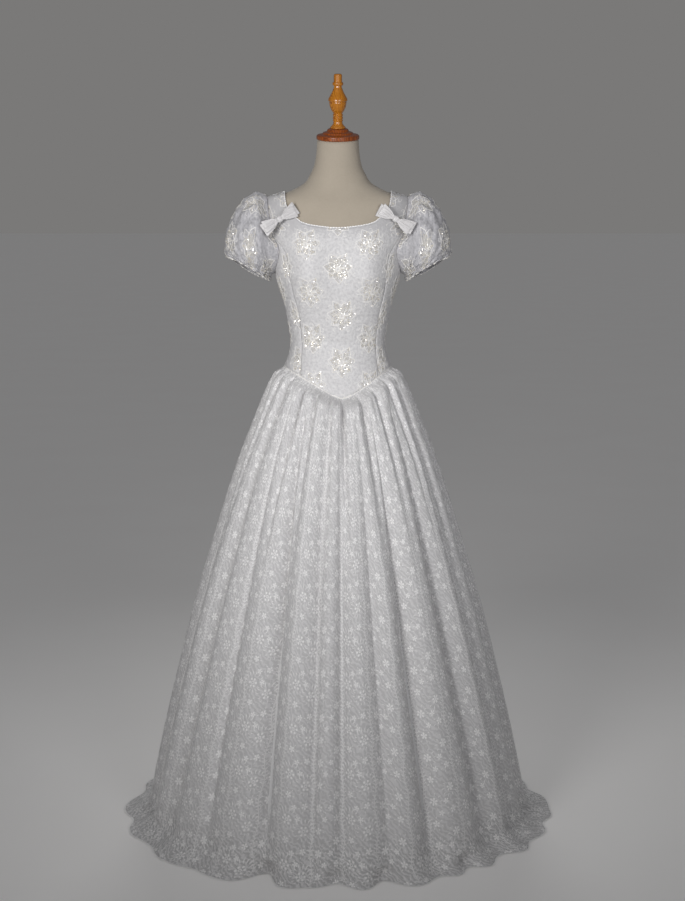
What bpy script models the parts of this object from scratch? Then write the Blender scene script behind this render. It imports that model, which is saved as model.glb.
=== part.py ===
"""Wedding dress standing on a tailor's dress form.

Metres, +Z up, the front of the dress faces -Y, the origin is the centre of the
stand's foot. Every cloth piece is a thin wall over the form or hung from the waist seam.
"""
import math
from functools import lru_cache

import bmesh
import bpy
import numpy as np
from mathutils import Matrix, Vector

for item in list(bpy.data.objects):
    bpy.data.objects.remove(item)

# Cloth sizes
BODICE_CLOTH = 0.0018
BODICE_CLEAR = 0.0009
FORM_INSET = 0.0029
SEAM_GAP = 0.0003
SLEEVE_CLOTH = 0.0015
LACE_CLOTH = 0.0015
LINING_CLOTH = 0.0012
RIBBON_CLOTH = 0.0009

# Dress form, one row for each level: half width, depth to the front and back,
# fullness of the bust and how square the section is
FORM_COLUMNS = ("z", "half_width", "front", "back", "bust", "square")
FORM_ROWS = (
    (0.850, 0.122, 0.080, 0.090, 0.000, 2.2),
    (0.860, 0.140, 0.096, 0.107, 0.000, 2.2),
    (0.885, 0.149, 0.101, 0.114, 0.000, 2.2),
    (0.930, 0.154, 0.104, 0.118, 0.000, 2.2),
    (0.980, 0.154, 0.104, 0.117, 0.000, 2.2),
    (1.030, 0.148, 0.100, 0.110, 0.000, 2.2),
    (1.070, 0.140, 0.095, 0.101, 0.000, 2.2),
    (1.110, 0.128, 0.088, 0.091, 0.000, 2.1),
    (1.140, 0.117, 0.082, 0.083, 0.000, 2.1),
    (1.171, 0.112, 0.079, 0.078, 0.000, 2.1),
    (1.200, 0.116, 0.083, 0.079, 0.000, 2.1),
    (1.240, 0.123, 0.090, 0.084, 0.002, 2.2),
    (1.270, 0.129, 0.095, 0.089, 0.007, 2.3),
    (1.300, 0.139, 0.099, 0.094, 0.015, 2.3),
    (1.335, 0.148, 0.102, 0.098, 0.022, 2.4),
    (1.370, 0.150, 0.102, 0.101, 0.020, 2.4),
    (1.400, 0.156, 0.100, 0.102, 0.012, 2.4),
    (1.430, 0.164, 0.096, 0.100, 0.005, 2.4),
    (1.460, 0.169, 0.090, 0.096, 0.001, 2.3),
    (1.487, 0.1715, 0.083, 0.090, 0.000, 2.2),
    (1.505, 0.1705, 0.077, 0.083, 0.000, 2.1),
    (1.514, 0.1670, 0.073, 0.079, 0.000, 2.0),
    (1.520, 0.1520, 0.070, 0.076, 0.000, 2.0),
    (1.528, 0.1270, 0.067, 0.072, 0.000, 2.0),
    (1.540, 0.1000, 0.063, 0.067, 0.000, 2.0),
    (1.554, 0.0790, 0.060, 0.063, 0.000, 2.0),
    (1.572, 0.0685, 0.057, 0.059, 0.000, 2.0),
    (1.590, 0.0600, 0.054, 0.056, 0.000, 2.0),
    (1.620, 0.0545, 0.051, 0.053, 0.000, 2.0),
    (1.656, 0.0520, 0.050, 0.050, 0.000, 2.0),
)
BUST_X = 0.078
BUST_SPREAD = 0.046
NECK_TILT = math.radians(9.0)
NECK_TOP = 1.652
NECK_ROOT = 1.585
FORM_COUNT = 32
FORM_LEVELS = (0.850, 0.862, 0.905, 0.975, 1.050, 1.105, 1.140, 1.171, 1.205,
               1.255, 1.300, 1.337, 1.370, 1.415, 1.460, 1.495, 1.511, 1.518, 1.528,
               1.542, 1.562, 1.590, 1.622, NECK_TOP)

# Princess seams: distance of the seam from the middle, front and back
SEAM_COLUMNS = ("z", "front_x", "back_x")
SEAM_ROWS = (
    (1.020, 0.092, 0.060),
    (1.088, 0.092, 0.061),
    (1.156, 0.088, 0.058),
    (1.228, 0.093, 0.066),
    (1.297, 0.109, 0.082),
    (1.374, 0.120, 0.108),
    (1.400, 0.132, 0.127),
    (1.422, 0.154, 0.152),
)
ARMHOLE_NOTCH = 1.422
ARMHOLE_BEND = 1.7
SHOULDER_BEND = 1.2
UNDERARM = 1.336
BODICE_MIDDLE = 1.25
SETTLE_STEPS = 6
WAIST_SIDE = 1.109
WAIST_FRONT = 1.039
WAIST_BACK = 1.066
WAIST_BEND = 1.5
WAIST_GAP = 0.0004
FRONT_TURN = 6.0
TURN_ENDS = 1.36
TURN_FADE = 0.12
ROW_EVENNESS = 0.92
# How far the edge of each panel is drawn in for its seam, and the radii that turn this
# into degrees at the sides, over the shoulder and at the middle of the back
EDGE_INSET = 0.65 * SEAM_GAP
SIDE_EDGE_INSET = 0.9 * SEAM_GAP
STRAP_END_INSET = 0.6 * SEAM_GAP
SIDE_RADIUS = 0.13
SHOULDER_RADIUS = 0.035
BACK_RADIUS = 0.085

# Height of the neckline from the middle outwards
NECKLINE_FRONT = (1.444, 1.4445, 1.446, 1.448, 1.451, 1.4570)
NECKLINE_BACK = (1.470, 1.4705, 1.4715, 1.473, 1.475, 1.4780)

# Shoulder strap: share of the way up, inner edge and outer edge from the middle
STRAP_COLUMNS = ("share", "inner_x", "outer_x")
STRAP_ROWS = (
    (0.00, 0.085, 0.155),
    (0.07, 0.103, 0.157),
    (0.15, 0.113, 0.159),
    (0.28, 0.121, 0.162),
    (0.60, 0.126, 0.165),
    (1.00, 0.128, 0.166),
)
STRAP_AXIS = 1.485
STRAP_BAND = 0.03
STRAP_NEAR = 0.08
STRAP_CORE = 0.04
BODY_CORE_TOP = 1.42
BODY_ROWS = 8
STRAP_STEPS = 8
HALF_COLUMNS = 8
NECK_COLUMNS = 5
SIDE_COLUMNS = 4
ZIP_WIDTH = 0.006
ZIP_FOOT = 0.003
ZIP_HEAD = 0.001

# Puff sleeve, one row for each ring: x and z of its highest point, x and z of its lowest
# point, half depth and depth of the pleats
SLEEVE_ROWS = (
    (0.197, 1.5300, 0.1590, 1.3330, 0.079, 0.0040),
    (0.222, 1.5140, 0.1600, 1.3310, 0.088, 0.0045),
    (0.245, 1.4870, 0.1608, 1.3290, 0.092, 0.0040),
    (0.262, 1.4500, 0.1615, 1.3265, 0.092, 0.0035),
    (0.2715, 1.4130, 0.1620, 1.3235, 0.088, 0.0030),
    (0.2725, 1.3860, 0.1625, 1.3195, 0.082, 0.0030),
    (0.2705, 1.3770, 0.1630, 1.3160, 0.080, 0.0035),
)
SLEEVE_COUNT = 36
SLEEVE_PLEATS = 12
SLEEVE_SAG = 0.012
SLEEVE_LIFT = 0.008
SLEEVE_MIDDLE = 1.41
SAG_FADE = 0.06
PLEAT_UNDER = 0.35
# How far the sleeve's head stands out of the armhole and over it, at its seam and where it
# is fullest, and the share of this that is left at the underarm
HEAD_OUT = (0.0012, 0.010)
HEAD_OVER = (0.0004, 0.0065)
HEAD_UNDER = 0.2

# Skirt, one row for each level: half width, depth to the front and back
SKIRT_COLUMNS = ("z", "side", "front", "back")
SKIRT_ROWS = (
    (0.0005, 0.536, 0.540, 0.560),
    (0.014, 0.497, 0.520, 0.535),
    (0.032, 0.472, 0.508, 0.525),
    (0.100, 0.458, 0.490, 0.512),
    (0.226, 0.431, 0.452, 0.485),
    (0.380, 0.394, 0.402, 0.450),
    (0.532, 0.355, 0.352, 0.408),
    (0.683, 0.309, 0.300, 0.358),
    (0.795, 0.272, 0.258, 0.314),
    (0.906, 0.232, 0.213, 0.262),
    (0.980, 0.201, 0.178, 0.219),
    (1.038, 0.177, 0.146, 0.180),
    (1.068, 0.163, 0.127, 0.152),
    (1.097, 0.146, 0.107, 0.122),
    (1.115, 0.133, 0.095, 0.100),
)
SKIRT_FORWARD = -0.035
FORWARD_TOP = 1.02
SKIRT_COUNT = 96
SKIRT_LEVELS = (0.0, 0.004, 0.024, 0.058, 0.11, 0.19, 0.30, 0.42, 0.55, 0.68,
                0.81, 0.92, 0.971, 0.9875, 1.0)
GATHERS = 24
GATHER_DEPTH = 0.006
GATHER_FULL = 0.035
GATHER_END = 0.50
GATHER_BEND = 1.5
SIDE_SEAM_INSET = 0.10
# The skirt is held to the form just below the waist seam and leaves it over this height
HIP_LOW = 0.86
WAIST_HOLD = 0.050
HIP_CLEAR = 0.001
LACE_HEM = 0.0006
LACE_CLEAR = 0.0012
LACE_DROP = 0.0005
LINING_HEM = 0.085
LINING_INSET = 0.022
LINING_CLEAR = -0.0006
LINING_DROP = 0.0015
LINING_FOLDS = 0.85
LINING_LEVELS = (0.0, 0.006, 0.024, 0.06, 0.14, 0.32, 0.54, 0.77, 1.0)

# Broad folds of the skirt: bearing at the waist and at the hem from the middle front,
# positive to +X, then depth and width in degrees. They start below the waist seam and are
# full from FOLD_FULL of the way down
FOLD_START = 0.25
FOLD_FREE = 0.10
FOLD_FULL = 0.55
FOLD_ROWS = (
    (-79.0, -80.0, 0.020, 5.0),
    (-58.0, -59.0, 0.016, 4.5),
    (-43.0, -40.0, 0.013, 4.5),
    (-28.5, -20.5, 0.032, 5.0),
    (-9.0, -7.0, 0.018, 4.0),
    (2.0, 1.0, 0.019, 3.6),
    (15.0, 14.0, 0.014, 4.0),
    (28.0, 27.0, 0.027, 4.5),
    (47.0, 47.5, 0.026, 4.8),
    (63.0, 63.0, 0.020, 5.0),
    (78.0, 78.0, 0.018, 4.5),
    (103.0, 106.0, 0.024, 5.5),
    (123.0, 127.0, 0.026, 5.5),
    (143.0, 146.0, 0.024, 5.5),
    (163.0, 165.0, 0.028, 5.5),
    (184.0, 184.0, 0.026, 5.5),
    (203.0, 202.0, 0.027, 5.5),
    (222.0, 220.0, 0.024, 5.5),
    (241.0, 238.0, 0.026, 5.5),
    (259.0, 257.0, 0.022, 5.0),
)

# Ripples of the hem where it lies on the floor: bearing, depth and width in degrees
RIPPLE_TOP = 0.045
RIPPLE_ROWS = (
    (-65.0, 0.012, 4.0),
    (-20.0, 0.045, 3.6),
    (-1.0, 0.030, 3.6),
    (12.0, 0.040, 3.6),
    (37.0, 0.040, 3.6),
    (51.0, 0.018, 4.0),
    (120.0, 0.020, 5.0),
    (152.0, 0.024, 5.0),
    (195.0, 0.024, 5.0),
    (230.0, 0.020, 5.0),
)

# Bow, its middle and the slope of its length seen from the front
BOW_PLACE = (0.137, -0.0849, 1.4645)
BOW_LEAN = 0.13
BOW_HALF_LENGTH = 0.047
BOW_SLOPE = math.radians(31.5)
BOW_HALF_WIDTH = 0.0165
BOW_WAIST = 0.005
BOW_PUFF = 0.0034
BOW_HALF_GAP = 0.0012
BOW_PUFF_BEND = 1.3
BOW_FAN_BEND = 0.8
BOW_CREASE = 0.0012
BOW_CREASES = 0.75
BOW_COUNT = 24
BOW_LINES = 4
BOW_CORE = 0.9
KNOT_LENGTH = 0.011
KNOT_CLOTH = 0.0016
KNOT_WIDE = (0.0016, 0.0006)
KNOT_DEEP = (0.0014, 0.0008)
KNOT_SQUARE = 4
KNOT_COUNT = 16
KNOT_LINES = 4

# Stand, and the sides of each turned piece
POLE_RADIUS = 0.014
CAP_SIDES = 24
FINIAL_SIDES = 16
BASE_SIDES = 32
POLE_SIDES = 24
BASE_PROFILE = ((0.172, 0.0), (0.175, 0.004), (0.175, 0.012), (0.170, 0.019),
                (0.158, 0.024), (0.060, 0.027), (0.034, 0.034), (0.028, 0.040))
CAP_PROFILE = ((0.0495, 0.0), (0.0513, 0.0018), (0.0513, 0.0085), (0.0490, 0.0108),
               (0.0370, 0.0135), (0.0355, 0.0165), (0.0270, 0.0190), (0.0245, 0.0240),
               (0.0215, 0.0255))
FINIAL_PROFILE = (
    (0.0165, 0.0), (0.0186, 0.0012), (0.0186, 0.0030), (0.0150, 0.0062), (0.0112, 0.0112),
    (0.0108, 0.0165), (0.0124, 0.0185), (0.0108, 0.0208), (0.0124, 0.0245),
    (0.0108, 0.0283), (0.0124, 0.0315), (0.0104, 0.0350), (0.0118, 0.0375),
    (0.0156, 0.0430), (0.0190, 0.0510), (0.0207, 0.0610), (0.0204, 0.0632),
    (0.0227, 0.0655), (0.0225, 0.0695), (0.0190, 0.0760), (0.0135, 0.0860),
    (0.0095, 0.0960), (0.0090, 0.1000), (0.0122, 0.1012), (0.0130, 0.1045),
    (0.0122, 0.1080), (0.0098, 0.1090), (0.0098, 0.1250), (0.0080, 0.1275),
)

SATIN = (0.86, 0.86, 0.87, 1.0)
LACE = (0.80, 0.80, 0.81, 1.0)
LINEN = (0.40, 0.35, 0.28, 1.0)
HONEY_WOOD = (0.42, 0.20, 0.05, 1.0)
RED_WOOD = (0.33, 0.10, 0.035, 1.0)
ZIP_WHITE = (0.78, 0.78, 0.79, 1.0)
DARK_METAL = (0.10, 0.10, 0.11, 1.0)

# Search for the form's skin: how far, how often halved, and the step for its normal
HIT_REACH = 0.40
HIT_HALVINGS = 34
HIT_NUDGE = 0.0008
CLOTH_MERGE = 0.00005

parts = bpy.data.collections.new("wedding_dress")
bpy.context.scene.collection.children.link(parts)


def column(names, rows, name):
    return np.array([row[names.index(name)] for row in rows])


def smooth_read(keys, values, at):
    """Reads a table between its rows without overshoot."""
    step = np.diff(keys)
    slope = np.diff(values) / step
    lean = np.zeros(len(keys))
    lean[0], lean[-1] = slope[0], slope[-1]
    for i in range(1, len(keys) - 1):
        if slope[i - 1] * slope[i] > 0:
            one = 2 * step[i] + step[i - 1]
            two = step[i] + 2 * step[i - 1]
            lean[i] = (one + two) / (one / slope[i - 1] + two / slope[i])
    at = min(max(at, keys[0]), keys[-1])
    i = min(max(int(np.searchsorted(keys, at)) - 1, 0), len(keys) - 2)
    t = (at - keys[i]) / step[i]
    start = (1 + 2 * t) * (1 - t) ** 2 * values[i] + t * (1 - t) ** 2 * step[i] * lean[i]
    end = t * t * (3 - 2 * t) * values[i + 1] + t * t * (t - 1) * step[i] * lean[i + 1]
    return float(start + end)


def ease(value):
    value = min(max(value, 0.0), 1.0)
    return value * value * (3 - 2 * value)


def between(a, b, share):
    return a + (b - a) * share


FORM_Z = column(FORM_COLUMNS, FORM_ROWS, "z")
FORM_READ = [column(FORM_COLUMNS, FORM_ROWS, name) for name in FORM_COLUMNS[1:]]


@lru_cache(maxsize=None)
def section(z):
    return tuple(smooth_read(FORM_Z, values, z) for values in FORM_READ)


def form_field(x, y, z):
    """Below 1 inside the dress form, above 1 outside it."""
    half, front, back, bust, square = section(round(z, 6))
    depth = back
    if y < 0:
        depth = front + bust * math.exp(-((abs(x) - BUST_X) / BUST_SPREAD) ** 2)
    return (abs(x) / half) ** square + (abs(y) / depth) ** square


def form_hit(start, direction, out):
    """Point where a line from inside leaves the form, moved out along the normal."""
    near, far = 0.0, HIT_REACH
    for _ in range(HIT_HALVINGS):
        middle = (near + far) / 2
        if form_field(*(start + direction * middle)) < 1.0:
            near = middle
        else:
            far = middle
    point = start + direction * near
    normal = Vector([
        form_field(*(point + axis * HIT_NUDGE)) - form_field(*(point - axis * HIT_NUDGE))
        for axis in (Vector((1, 0, 0)), Vector((0, 1, 0)), Vector((0, 0, 1)))
    ]).normalized()
    return point + normal * out


def skin(degrees, z, out):
    """Point over the form at a bearing from the middle front and a height."""
    turn = math.radians(degrees)
    return form_hit(Vector((0, 0, z)), Vector((math.sin(turn), -math.cos(turn), 0)), out)


@lru_cache(maxsize=None)
def skin_radius(degrees, z):
    return skin(degrees, z, 0.0).xy.length


def over_shoulder(x, degrees, out):
    """Point over the shoulder, 0 level to the front, 90 straight up, 180 to the back."""
    turn = math.radians(degrees)
    return form_hit(Vector((x, 0, STRAP_AXIS)),
                    Vector((0, -math.cos(turn), math.sin(turn))), out)


def finish(mesh, name, colour, thickness=0.0):
    mesh.update()
    mesh.shade_smooth()
    obj = bpy.data.objects.new(name, mesh)
    parts.objects.link(obj)
    if thickness:
        wall = obj.modifiers.new("cloth", "SOLIDIFY")
        wall.thickness = thickness
        wall.offset = 1.0
        wall.use_even_offset = False
    material = bpy.data.materials.new(name)
    material.use_nodes = True
    shader = material.node_tree.nodes["Principled BSDF"]
    shader.inputs["Base Color"].default_value = colour
    shader.inputs["Roughness"].default_value = 0.6
    mesh.materials.append(material)
    return obj


def cloth(name, grids, thickness, colour, centre, wrap=False):
    """Joins grids of points into one open surface and gives it a cloth wall outwards."""
    sheet = bmesh.new()
    for rows in grids:
        verts = [[sheet.verts.new(point) for point in row] for row in rows]
        for low, high in zip(verts, verts[1:]):
            count = len(low)
            for i in range(count if wrap else count - 1):
                j = (i + 1) % count
                sheet.faces.new((low[i], low[j], high[j], high[i]))
    bmesh.ops.remove_doubles(sheet, verts=sheet.verts, dist=CLOTH_MERGE)
    bmesh.ops.recalc_face_normals(sheet, faces=sheet.faces)
    sheet.normal_update()
    lean = sum((face.calc_center_median() - centre(face.calc_center_median())).dot(face.normal)
               * face.calc_area() for face in sheet.faces)
    if lean < 0:
        bmesh.ops.reverse_faces(sheet, faces=sheet.faces)
    mesh = bpy.data.meshes.new(name)
    sheet.to_mesh(mesh)
    sheet.free()
    return finish(mesh, name, colour, thickness)


def loft(name, rings, colour):
    """Closed body through rings of equal count, with a fan over each end."""
    body = bmesh.new()
    verts = [[body.verts.new(point) for point in ring] for ring in rings]
    for low, high in zip(verts, verts[1:]):
        for i in range(len(low)):
            j = (i + 1) % len(low)
            body.faces.new((low[i], low[j], high[j], high[i]))
    for ring in (verts[0], verts[-1]):
        middle = body.verts.new(sum((v.co for v in ring), Vector()) / len(ring))
        for i in range(len(ring)):
            body.faces.new((ring[i], ring[(i + 1) % len(ring)], middle))
    bmesh.ops.recalc_face_normals(body, faces=body.faces)
    mesh = bpy.data.meshes.new(name)
    body.to_mesh(mesh)
    body.free()
    return finish(mesh, name, colour)


def turned(name, profile, colour, count, place):
    """Turned body from (radius, height) pairs, bottom to top, set by a matrix."""
    outer = [(radius, 0.0, height) for radius, height in reversed(profile)]
    points = [(0.0, 0.0, profile[-1][1])] + outer + [(0.0, 0.0, profile[0][1])]
    mesh = bpy.data.meshes.new(name)
    mesh.from_pydata(points, [(i, i + 1) for i in range(len(points) - 1)], [])
    obj = finish(mesh, name, colour)
    obj.matrix_world = place
    screw = obj.modifiers.new("turn", "SCREW")
    screw.steps = count
    screw.render_steps = count
    screw.use_merge_vertices = True
    screw.merge_threshold = CLOTH_MERGE
    return obj


# Dress form and stand
form_rings = []
for level in FORM_LEVELS:
    tilt = math.tan(NECK_TILT) * ease((level - NECK_ROOT) / (NECK_TOP - NECK_ROOT))
    ring = []
    for i in range(FORM_COUNT):
        point = skin(360.0 * i / FORM_COUNT, level, -FORM_INSET)
        if level == FORM_LEVELS[0]:
            point.z = level
        ring.append(point + Vector((0, 0, point.y * tilt)))
    form_rings.append(ring)
loft("form_torso", form_rings, LINEN)

neck_place = Matrix.Translation((0, 0, NECK_TOP)) @ Matrix.Rotation(NECK_TILT, 4, "X")
turned("neck_cap", CAP_PROFILE, RED_WOOD, CAP_SIDES,
       neck_place @ Matrix.Translation((0, 0, SEAM_GAP)))
turned("finial", FINIAL_PROFILE, HONEY_WOOD, FINIAL_SIDES,
       neck_place @ Matrix.Translation((0, 0, CAP_PROFILE[-1][1] + 2 * SEAM_GAP)))
turned("stand_base", BASE_PROFILE, RED_WOOD, BASE_SIDES, Matrix.Identity(4))
pole_ends = ((POLE_RADIUS, BASE_PROFILE[-1][1] + SEAM_GAP),
             (POLE_RADIUS, FORM_ROWS[0][0] - SEAM_GAP))
turned("stand_pole", pole_ends, DARK_METAL, POLE_SIDES, Matrix.Identity(4))

SEAM_Z = column(SEAM_COLUMNS, SEAM_ROWS, "z")
SEAM_X = {"front": column(SEAM_COLUMNS, SEAM_ROWS, "front_x"),
          "back": column(SEAM_COLUMNS, SEAM_ROWS, "back_x")}
STRAP_SHARE = column(STRAP_COLUMNS, STRAP_ROWS, "share")
STRAP_IN = column(STRAP_COLUMNS, STRAP_ROWS, "inner_x")
STRAP_OUT = column(STRAP_COLUMNS, STRAP_ROWS, "outer_x")


def bearing_at(x, z, side):
    """Bearing, from 0 to 90 off the middle, of the skin point that is x from the middle."""
    half, front, back, bust, square = section(round(z, 6))
    depth = back
    if side == "front":
        depth = front + bust * math.exp(-((x - BUST_X) / BUST_SPREAD) ** 2)
    y = depth * max(1 - (x / half) ** square, 1e-6) ** (1 / square)
    return math.degrees(math.atan2(x, y))


@lru_cache(maxsize=None)
def princess(z, side):
    return bearing_at(smooth_read(SEAM_Z, SEAM_X[side], z), z, side)


def true_bearing(off_middle, side):
    return off_middle if side == "front" else 180.0 - off_middle


def front_turn(degrees):
    """How far the front of the dress is turned on the form, none at the sides and back."""
    return FRONT_TURN * max(math.cos(math.radians(degrees)), 0) ** 2


def waist_height(degrees):
    """Height of the waist seam, dipping to a point in front and a little at the back."""
    turn = math.radians(degrees - front_turn(degrees))
    low = WAIST_FRONT if math.cos(turn) > 0 else WAIST_BACK
    return between(low, WAIST_SIDE, abs(math.sin(turn)) ** WAIST_BEND)


def armhole_height(share):
    """Lower armhole from the notch at the princess seam down to the side seam."""
    return between(UNDERARM, ARMHOLE_NOTCH, (1 - share) ** ARMHOLE_BEND)


def column_top(u, side):
    """Top of the middle panel at share u of its half, before the strap."""
    neckline = NECKLINE_FRONT if side == "front" else NECKLINE_BACK
    place = abs(u) * HALF_COLUMNS
    if place <= NECK_COLUMNS:
        low = min(int(place), NECK_COLUMNS - 1)
        return between(neckline[low], neckline[low + 1], place - low)
    share = (place - NECK_COLUMNS) / (HALF_COLUMNS - NECK_COLUMNS)
    return between(neckline[-1], ARMHOLE_NOTCH, share ** SHOULDER_BEND)


def panel_bearing(u, z, side, near_edge):
    """Bearing off the middle of a column; the outer edge is drawn in for the seam."""
    edge = princess(round(z, 5), side)
    radius = skin_radius(round(true_bearing(edge, side), 3), round(z, 5))
    return between(near_edge, edge - math.degrees(EDGE_INSET / radius), abs(u))


def panel_point(off_middle, top, share, side, mirror, z, out):
    """Point of a bodice panel, and the height it settles at on its way up the panel."""
    facing = mirror * true_bearing(off_middle, side)
    if side == "front":
        facing += front_turn(facing) * ease((TURN_ENDS - z) / TURN_FADE)
    z = between(waist_height(facing) + WAIST_GAP, top, share ** ROW_EVENNESS)
    return skin(facing, z, out), z


def middle_grids(side, mirror, near_edge, out):
    """Half of a middle panel, body and strap, to the +X or -X side."""
    body = []
    for row in range(BODY_ROWS + 1):
        line = []
        for i in range(HALF_COLUMNS + 1):
            u = i / HALF_COLUMNS
            z = BODICE_MIDDLE
            for _ in range(SETTLE_STEPS):
                off = panel_bearing(u, z, side, near_edge)
                point, z = panel_point(off, column_top(u, side), row / BODY_ROWS, side,
                                       mirror, z, out)
            line.append(point)
        body.append(line)
    root = body[-1][NECK_COLUMNS:]
    roots = [form_hit(Vector((p.x, 0, STRAP_AXIS)),
                      Vector((0, p.y, p.z - STRAP_AXIS)).normalized(), 0.0) for p in root]
    toward = -1.0 if side == "front" else 1.0
    strap = [root]
    inner0, outer0 = abs(roots[0].x), abs(roots[-1].x)
    seam = math.degrees(STRAP_END_INSET / SHOULDER_RADIUS)
    for step in range(1, STRAP_STEPS + 1):
        share = step / STRAP_STEPS
        line = []
        for point in roots:
            across = (abs(point.x) - inner0) / (outer0 - inner0)
            start = math.degrees(math.atan2(point.z - STRAP_AXIS, toward * point.y))
            turn = between(start, 90.0 - seam, share)
            inner = smooth_read(STRAP_SHARE, STRAP_IN, share)
            outer = smooth_read(STRAP_SHARE, STRAP_OUT, share)
            inner += (inner0 - STRAP_IN[0]) * (1 - share)
            outer += (outer0 - STRAP_OUT[0]) * (1 - share)
            x = mirror * between(inner, outer, across)
            line.append(over_shoulder(x, turn if side == "front" else 180.0 - turn, out))
        strap.append(line)
    return [body, strap]


def side_grid(side, mirror, out):
    """Side panel from the princess seam to the side seam."""
    inset = math.degrees(SIDE_EDGE_INSET / SIDE_RADIUS)
    rows = []
    for row in range(BODY_ROWS + 1):
        line = []
        for i in range(SIDE_COLUMNS + 1):
            u = i / SIDE_COLUMNS
            z = BODICE_MIDDLE
            for _ in range(SETTLE_STEPS):
                edge = princess(round(z, 5), side)
                off = between(edge + inset, 90.0 - inset, u)
                point, z = panel_point(off, armhole_height(u), row / BODY_ROWS, side,
                                       mirror, z, out)
            line.append(point)
        rows.append(line)
    return rows


def body_axis(point):
    """Inner line that the bodice wraps, used to tell out from in."""
    if point.z > STRAP_AXIS - STRAP_BAND and abs(point.x) > STRAP_NEAR:
        return Vector((point.x, 0, STRAP_AXIS - STRAP_CORE))
    return Vector((0, 0, min(point.z, BODY_CORE_TOP)))


front_half = {}
for mirror in (1, -1):
    front_half[mirror] = middle_grids("front", mirror, 0.0, BODICE_CLEAR)
cloth("bodice_centre_front", front_half[1] + front_half[-1], BODICE_CLOTH, SATIN, body_axis)

zip_half = math.degrees((ZIP_WIDTH / 2 + SEAM_GAP) / BACK_RADIUS)
back_half = {}
for mirror, word in ((1, "left"), (-1, "right")):
    back_half[mirror] = middle_grids("back", mirror, zip_half, BODICE_CLEAR)
    cloth(f"bodice_centre_back_{word}", back_half[mirror], BODICE_CLOTH, SATIN, body_axis)
    cloth(f"bodice_side_front_{word}", [side_grid("front", mirror, BODICE_CLEAR)],
          BODICE_CLOTH, SATIN, body_axis)
    cloth(f"bodice_side_back_{word}", [side_grid("back", mirror, BODICE_CLEAR)],
          BODICE_CLOTH, SATIN, body_axis)

# Concealed zip down the middle of the back
zip_rows = []
for row in range(BODY_ROWS + 1):
    z = between(WAIST_BACK + ZIP_FOOT, NECKLINE_BACK[0] - ZIP_HEAD, row / BODY_ROWS)
    middle = skin(180.0, z, BODICE_CLEAR)
    zip_rows.append([middle + Vector((x, 0, 0)) for x in (-ZIP_WIDTH / 2, 0, ZIP_WIDTH / 2)])
cloth("back_zip", [zip_rows], BODICE_CLOTH, ZIP_WHITE, body_axis)


# Puff sleeves
def armhole_ring(mirror, out):
    """Closed line of the armhole from the shoulder over the front to the underarm."""
    lines = []
    for side in ("front", "back"):
        strap = middle_grids(side, mirror, 0.0 if side == "front" else zip_half, out)[1]
        edge = [row[-1] for row in reversed(strap)]
        under = side_grid(side, mirror, out)[-1]
        lines.append(edge + under[1:])
    loop = lines[0] + list(reversed(lines[1][:-1]))
    lengths = [0.0]
    for a, b in zip(loop, loop[1:] + loop[:1]):
        lengths.append(lengths[-1] + (b - a).length)
    ring = []
    for i in range(SLEEVE_COUNT):
        want = lengths[-1] * i / SLEEVE_COUNT
        k = max(j for j in range(len(loop)) if lengths[j] <= want)
        share = (want - lengths[k]) / (lengths[k + 1] - lengths[k])
        ring.append(loop[k].lerp(loop[(k + 1) % len(loop)], share))
    return ring


def sleeve_rings(mirror):
    """Rings of a sleeve from its seam in the armhole to its open hem."""
    root = armhole_ring(mirror, BODICE_CLEAR + BODICE_CLOTH + SEAM_GAP)
    centre = sum(root, Vector()) / len(root)
    rings = []
    for share in (0.0, 1.0):
        ring = []
        for point in root:
            away = (point - centre)
            away.x = 0
            away.normalize()
            high = 0.5 + 0.5 * away.z
            grow = share * between(HEAD_UNDER, 1.0, high)
            ring.append(point + Vector((mirror * between(*HEAD_OUT, grow), 0, 0))
                        + away * between(*HEAD_OVER, grow))
        rings.append(ring)
    for top_x, top_z, low_x, low_z, half_depth, pleat in SLEEVE_ROWS:
        top = Vector((mirror * top_x, 0, top_z))
        low = Vector((mirror * low_x, 0, low_z))
        middle = (top + low) / 2
        rise = (top - low) / 2
        ring = []
        for i in range(SLEEVE_COUNT):
            turn = 2 * math.pi * i / SLEEVE_COUNT
            wave = 0.5 + 0.5 * math.cos(SLEEVE_PLEATS * turn)
            height = math.cos(turn)
            across = math.sin(turn)
            weight = between(PLEAT_UNDER, 1.0, 0.5 + 0.5 * height)
            point = middle + rise * height + Vector((0, -half_depth * across, 0))
            out = (rise.normalized() * height + Vector((0, -across, 0)))
            sag = SLEEVE_SAG * max(-across, 0) ** 2 - SLEEVE_LIFT * max(across, 0) ** 2
            sag *= ease((SLEEVE_MIDDLE - middle.z) / SAG_FADE)
            ring.append(point - out * pleat * wave * weight - Vector((0, 0, sag)))
        rings.append(ring)
    return rings


for mirror, word in ((1, "left"), (-1, "right")):
    rings = sleeve_rings(mirror)
    centres = [sum(ring, Vector()) / len(ring) for ring in rings]
    cloth(f"sleeve_{word}", [rings], SLEEVE_CLOTH, LACE,
          lambda p, c=centres: min(c, key=lambda q: (q - p).length), wrap=True)

# Skirt
SKIRT_Z = column(SKIRT_COLUMNS, SKIRT_ROWS, "z")
SKIRT_READ = [column(SKIRT_COLUMNS, SKIRT_ROWS, name) for name in SKIRT_COLUMNS[1:]]


def angle_apart(a, b):
    return abs((a - b + 180.0) % 360.0 - 180.0)


def skirt_forward(z):
    return SKIRT_FORWARD * ease(FORWARD_TOP - z)


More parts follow.
